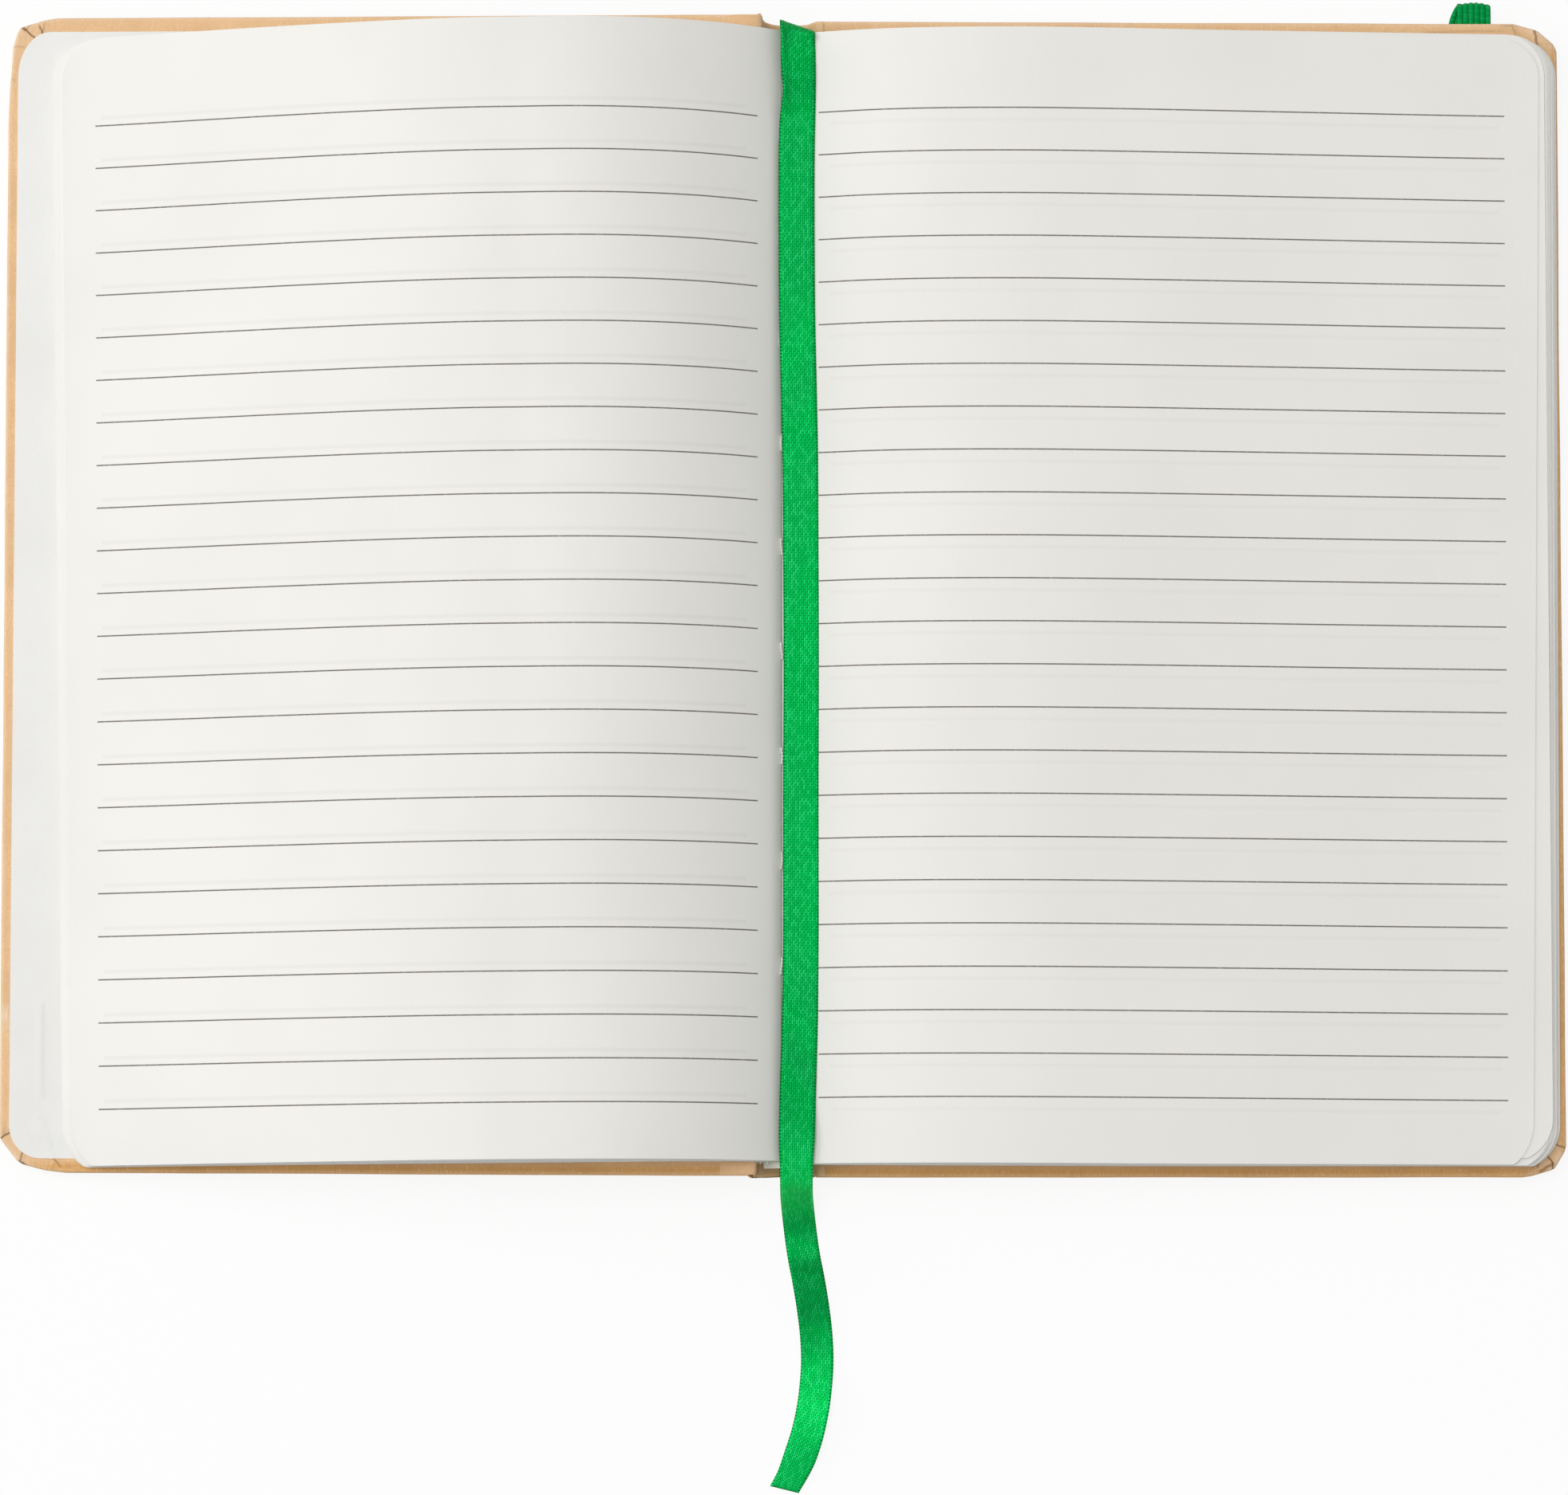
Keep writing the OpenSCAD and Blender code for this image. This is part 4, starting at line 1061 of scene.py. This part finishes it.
def makeTurnIn(name, points, end, seed, ear=0.0, taper=(0.12, 0.1)):
    # the paper turned in at the head or tail, bent across the joint: a sheet over the fold line, thin at
    # its sides; an ear is a small tip that stands out where the paper folds down into the spine
    line, normal = foldLine(points, 80)
    u = np.linspace(0, 1, 80)
    thin = smooth(0.15 + u / taper[0]) * smooth(0.15 + (1 - u) / taper[1])
    v = 1 - (1 - np.linspace(0, 1, 40)) ** 1.8
    reach = coverHalf - spine["turnInShort"] - edgeDip(line[:, 0], end)
    reach = reach + ear * bell(line[:, 0] - spine["earX"], spine["earWide"])
    lean = cover["outOfSquare"][0] * 0.05 if end > 0 else 0
    y = end * (reach[None] - spine["turnIn"] * (1 - v[:, None])) + lean
    uneven = spine["uneven"] * ripple(line[None, :, 0] + 0 * y, y, 5 * mm, seed) * thin
    left = (1 - v[:, None]) * spine["turnIn"]
    drop = spine["edgeDrop"] * (1 - smooth(left / spine["dropOver"]))
    low = line[None] + normal[None] * (uneven - drop)[..., None] + np.stack([0 * y, y, 0 * y], -1)
    high = low + normal[None] * (spine["thickness"] * thin)[None, :, None]
    wear = 0.5 * bell(line[None, :, 0] + 3.8 * mm, 0.35 * mm) if ear else 0.1
    piece = makeSlab(name, high, low, [kraft], masks={"crease": 0, "wear": wear})
    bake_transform(piece)


leftTurnIn = [(-10, 11.75), (-9, 11.82), (-7.6, 11.94), (-6.3, 12.04), (-5.3, 11.98), (-4.4, 11.85),
              (-3.9, 11.5), (-3.72, 10.6), (-3.65, 8.6), (-3.5, 6.4), (-3.1, 4.8), (-2.5, 3.3), (-1.8, 2.2),
              (-1.0, 1.5), (-0.2, 1.2), (0.8, 1.08)]
leftTurnInTail = [(-11, 11.75), (-10, 11.82), (-8.6, 11.94), (-7.3, 12.04), (-6.3, 11.98), (-5.4, 11.85),
                  (-4.9, 11.5), (-4.72, 10.6), (-4.75, 8.5), (-4.85, 6.0), (-4.95, 3.6), (-4.9, 2.0),
                  (-4.4, 1.3), (-3.4, 1.12), (-2, 1.08), (-0.4, 1.08)]
rightTurnIn = [(1.4, 1.14), (2.6, 1.14), (3.7, 1.2), (4.5, 1.55), (5.1, 2.4), (5.6, 3.5), (6.2, 4.4),
               (6.8, 4.85), (7.3, 4.93), (7.7, 4.88)]
makeSpinePaper()
makeSpineStrip()
for end, label, leftFold, ear in ((1, "Head", leftTurnIn, 0.35 * mm),
                                  (-1, "Tail", leftTurnInTail, 0.1 * mm)):
    makeTurnIn(f"leftTurnIn{label}", leftFold, end, 61 + end, ear)
    makeTurnIn(f"rightTurnIn{label}", rightTurnIn, end, 65 + end,
               taper=(0.1, 0.03))


print("sewing the gathers")
sewing = {"count": 9, "pitch": 18.9 * mm, "start": -67.4 * mm, "length": 3.0 * mm, "z": 10.5 * mm,
          "radius": 0.24 * mm, "turns": 5, "bow": 0.12 * mm}


def makeStitches():
    # two-ply thread: a two-lobed section that turns as it runs along each short, slightly bowed stitch
    theta = np.linspace(0, 2 * math.pi, 14, endpoint=False)
    for i in range(sewing["count"]):
        t = np.linspace(-1, 1, 40)
        y = sewing["start"] + i * sewing["pitch"] + t * sewing["length"] / 2
        bow = sewing["bow"]
        path = np.stack([bow * np.sin(t * 2 + i), y, sewing["z"] + bow * (1 - t ** 2)], -1)
        turn = t[:, None] * math.pi * sewing["turns"] / 2
        r = sewing["radius"] * (0.8 + 0.2 * np.cos(2 * (theta[None] - turn)))
        section = np.stack([r * np.cos(theta), r * np.sin(theta)], -1)
        piece = sweepTube(f"stitch_{i + 1}", path, np.array([1.0, 0, 0]), section, [linenThread])
        finishPiece(piece, "spine", ["sewing_thread"])


fray = {"left": -4.5 * mm, "right": -2.0 * mm, "start": -101.6 * mm, "reach": 1.0 * mm, "z": 9.7 * mm,
        "thickness": 0.12 * mm, "yarns": 4, "yarnRadius": 0.08 * mm, "yarnLeft": -4.4, "yarnSpan": 2.4}


def makeFray():
    # a ragged tongue of gauze past the leaves' tail, whose edge wanders, and a few loose yarns beside it
    x = np.linspace(fray["left"], fray["right"], 40)
    reach = fray["reach"] * (1 + 0.2 * np.sin(x * 4300) + 0.2 * np.sin(x * 9800 + 1))
    y = fray["start"] - reach * np.linspace(0, 1, 10)[:, None]
    x = x + 0 * y
    z = fray["z"] + 0.12 * mm * ripple(x, y, 1.6 * mm, 71)
    top = np.stack([x, y, z], -1)
    scrap = makeSlab("liningScrap", top, top - (0, 0, fray["thickness"]), [gauze])
    finishPiece(scrap, "spine")
    theta = np.linspace(0, 2 * math.pi, 8, endpoint=False)
    section = fray["yarnRadius"] * np.stack([np.cos(theta), np.sin(theta)], -1)
    t = np.linspace(0, 1, 16)
    for i in range(fray["yarns"]):
        x = fray["yarnLeft"] + fray["yarnSpan"] * i / (fray["yarns"] - 1) + rng.uniform(-0.4, 0.4) * t
        y = -101.0 - (1.5 + rng.uniform(-0.3, 0.5)) * t
        z = 9.6 + rng.uniform(-0.1, 0.3) + 0.3 * np.sin(t * 3)
        path = np.stack([x, y, z], -1) * mm
        yarn = sweepTube(f"liningYarn_{i + 1}", path, np.array([1.0, 0, 0]), section, [gauze])
        finishPiece(yarn, "spine")


makeStitches()
makeFray()


print("threading the elastic")
band = {"width": 6.2 * mm, "thick": 1.05 * mm, "gap": 0.28 * mm, "bow": 0.55 * mm, "ribs": 6,
        "middle": 14.8 * mm, "past": 4.1 * mm, "short": 2 * mm, "slot": 12 * mm, "wrap": 0.27 * mm,
        "peek": 1.5 * mm, "fine": 0.085 * mm, "coarse": 1.2 * mm, "perRib": 7}


def elasticPath():
    # out of the board at the head slot, round the head loop, under the cover and round the tail loop
    # to its slot; its stations are close together only round the head loop
    top = band["gap"] + 1.5 * band["thick"]
    low = band["thick"] / 2
    lift = (top - low) / 2
    headTip = coverHalf + band["past"] - band["thick"] / 2
    tailTip = -coverHalf + band["short"] + band["thick"] / 2
    turn = np.linspace(math.pi / 2, -math.pi / 2, 9)[1:-1]
    headBend = np.stack([headTip - lift + lift * np.cos(turn), low + lift + lift * np.sin(turn)], -1)
    tailBend = np.stack([tailTip + lift - lift * np.cos(turn), low + lift - lift * np.sin(turn)], -1)
    slotY = coverHalf - band["slot"]
    head = [(slotY, 4.2 * mm), (slotY + 0.3 * mm, 2.9 * mm), (slotY + 1.6 * mm, top), (slotY + 5 * mm, top),
            (coverHalf - 1 * mm, top), (coverHalf + 1.5 * mm, top)]
    floorRun = [(y * mm, low) for y in range(100, -100, -20)]
    tail = [(-slotY - 5 * mm, top), (-slotY - 1.6 * mm, top), (-slotY - 0.3 * mm, 2.9 * mm),
            (-slotY, 4.2 * mm)]
    yz = np.concatenate([head, headBend, [(coverHalf + 1 * mm, low)], floorRun, tailBend, tail])
    line = roundedPath(np.stack([0 * yz[:, 0], yz[:, 0], yz[:, 1]], -1), 6000)
    along = runLength(line)
    density = np.where(line[:, 1] > coverHalf - 1.5 * mm, 1 / band["fine"], 1 / band["coarse"])
    share = np.concatenate([[0], np.cumsum(density[1:] * np.diff(along))])
    pick = np.linspace(0, share[-1], int(share[-1]))
    line = np.stack([np.interp(pick, share, line[:, i]) for i in range(3)], -1)
    onLow = smooth((low + 0.55 * lift - line[:, 2]) / (0.5 * lift))
    nearHead = smooth((line[:, 1] - 84 * mm) / (16 * mm))
    lean = onLow * nearHead * smooth((headTip + 0.4 * mm - line[:, 1]) / (4.5 * mm))
    line[:, 0] = coverHigh.x - band["middle"] - band["peek"] * lean
    return line


def makeElastic():
    # six round ribs side by side, each ringed by its wrapping yarn: the rib radius ripples along the band
    path = elasticPath()
    along = runLength(path)
    pitch = band["width"] / band["ribs"]
    u = (np.arange(band["ribs"] * band["perRib"]) + 0.5) / band["perRib"]
    local = 2 * (u % 1) - 1
    full = np.sqrt(1 - 0.92 * local ** 2)
    a = (u - band["ribs"] / 2) * pitch
    phase = along[:, None] / band["wrap"] + 0.35 * np.floor(u)[None] + 0.12 * local[None]
    fine = smooth((path[:, 1] - coverHalf + 3 * mm) / (2 * mm))[:, None]
    bead = 1 - fine * (0.035 + 0.035 * np.cos(2 * math.pi * phase))
    b = band["thick"] / 2 * (0.34 + 0.66 * full[None]) * bead
    upper = np.stack([a[None] + 0 * b, b], -1)
    section = np.concatenate([upper, upper[:, ::-1] * (1, -1)], 1)

    def bowTip(points, path):
        # the loop's tip bows outwards: its sides are drawn back by the square of their offset
        offset = points[..., 0] - path[:, :1]
        near = smooth((path[:, 1] - coverHalf - 1.2 * mm) / (2.4 * mm))[:, None]
        points[..., 1] -= band["bow"] * near * (2 * offset / band["width"]) ** 2
        points[..., 2] = np.maximum(points[..., 2], 0.01 * mm)
        return points

    piece = sweepTube("elasticLoop", path, np.array([1.0, 0, 0]), section, [elasticCloth], bowTip)
    finishPiece(piece, "back_cover", ["elastic_band"])


makeElastic()


print("dressing the lining, the CAD node that stays")
liningData = frame["nodes"]["back_lining"].data
liningData.materials.clear()
liningData.materials.append(gauze)
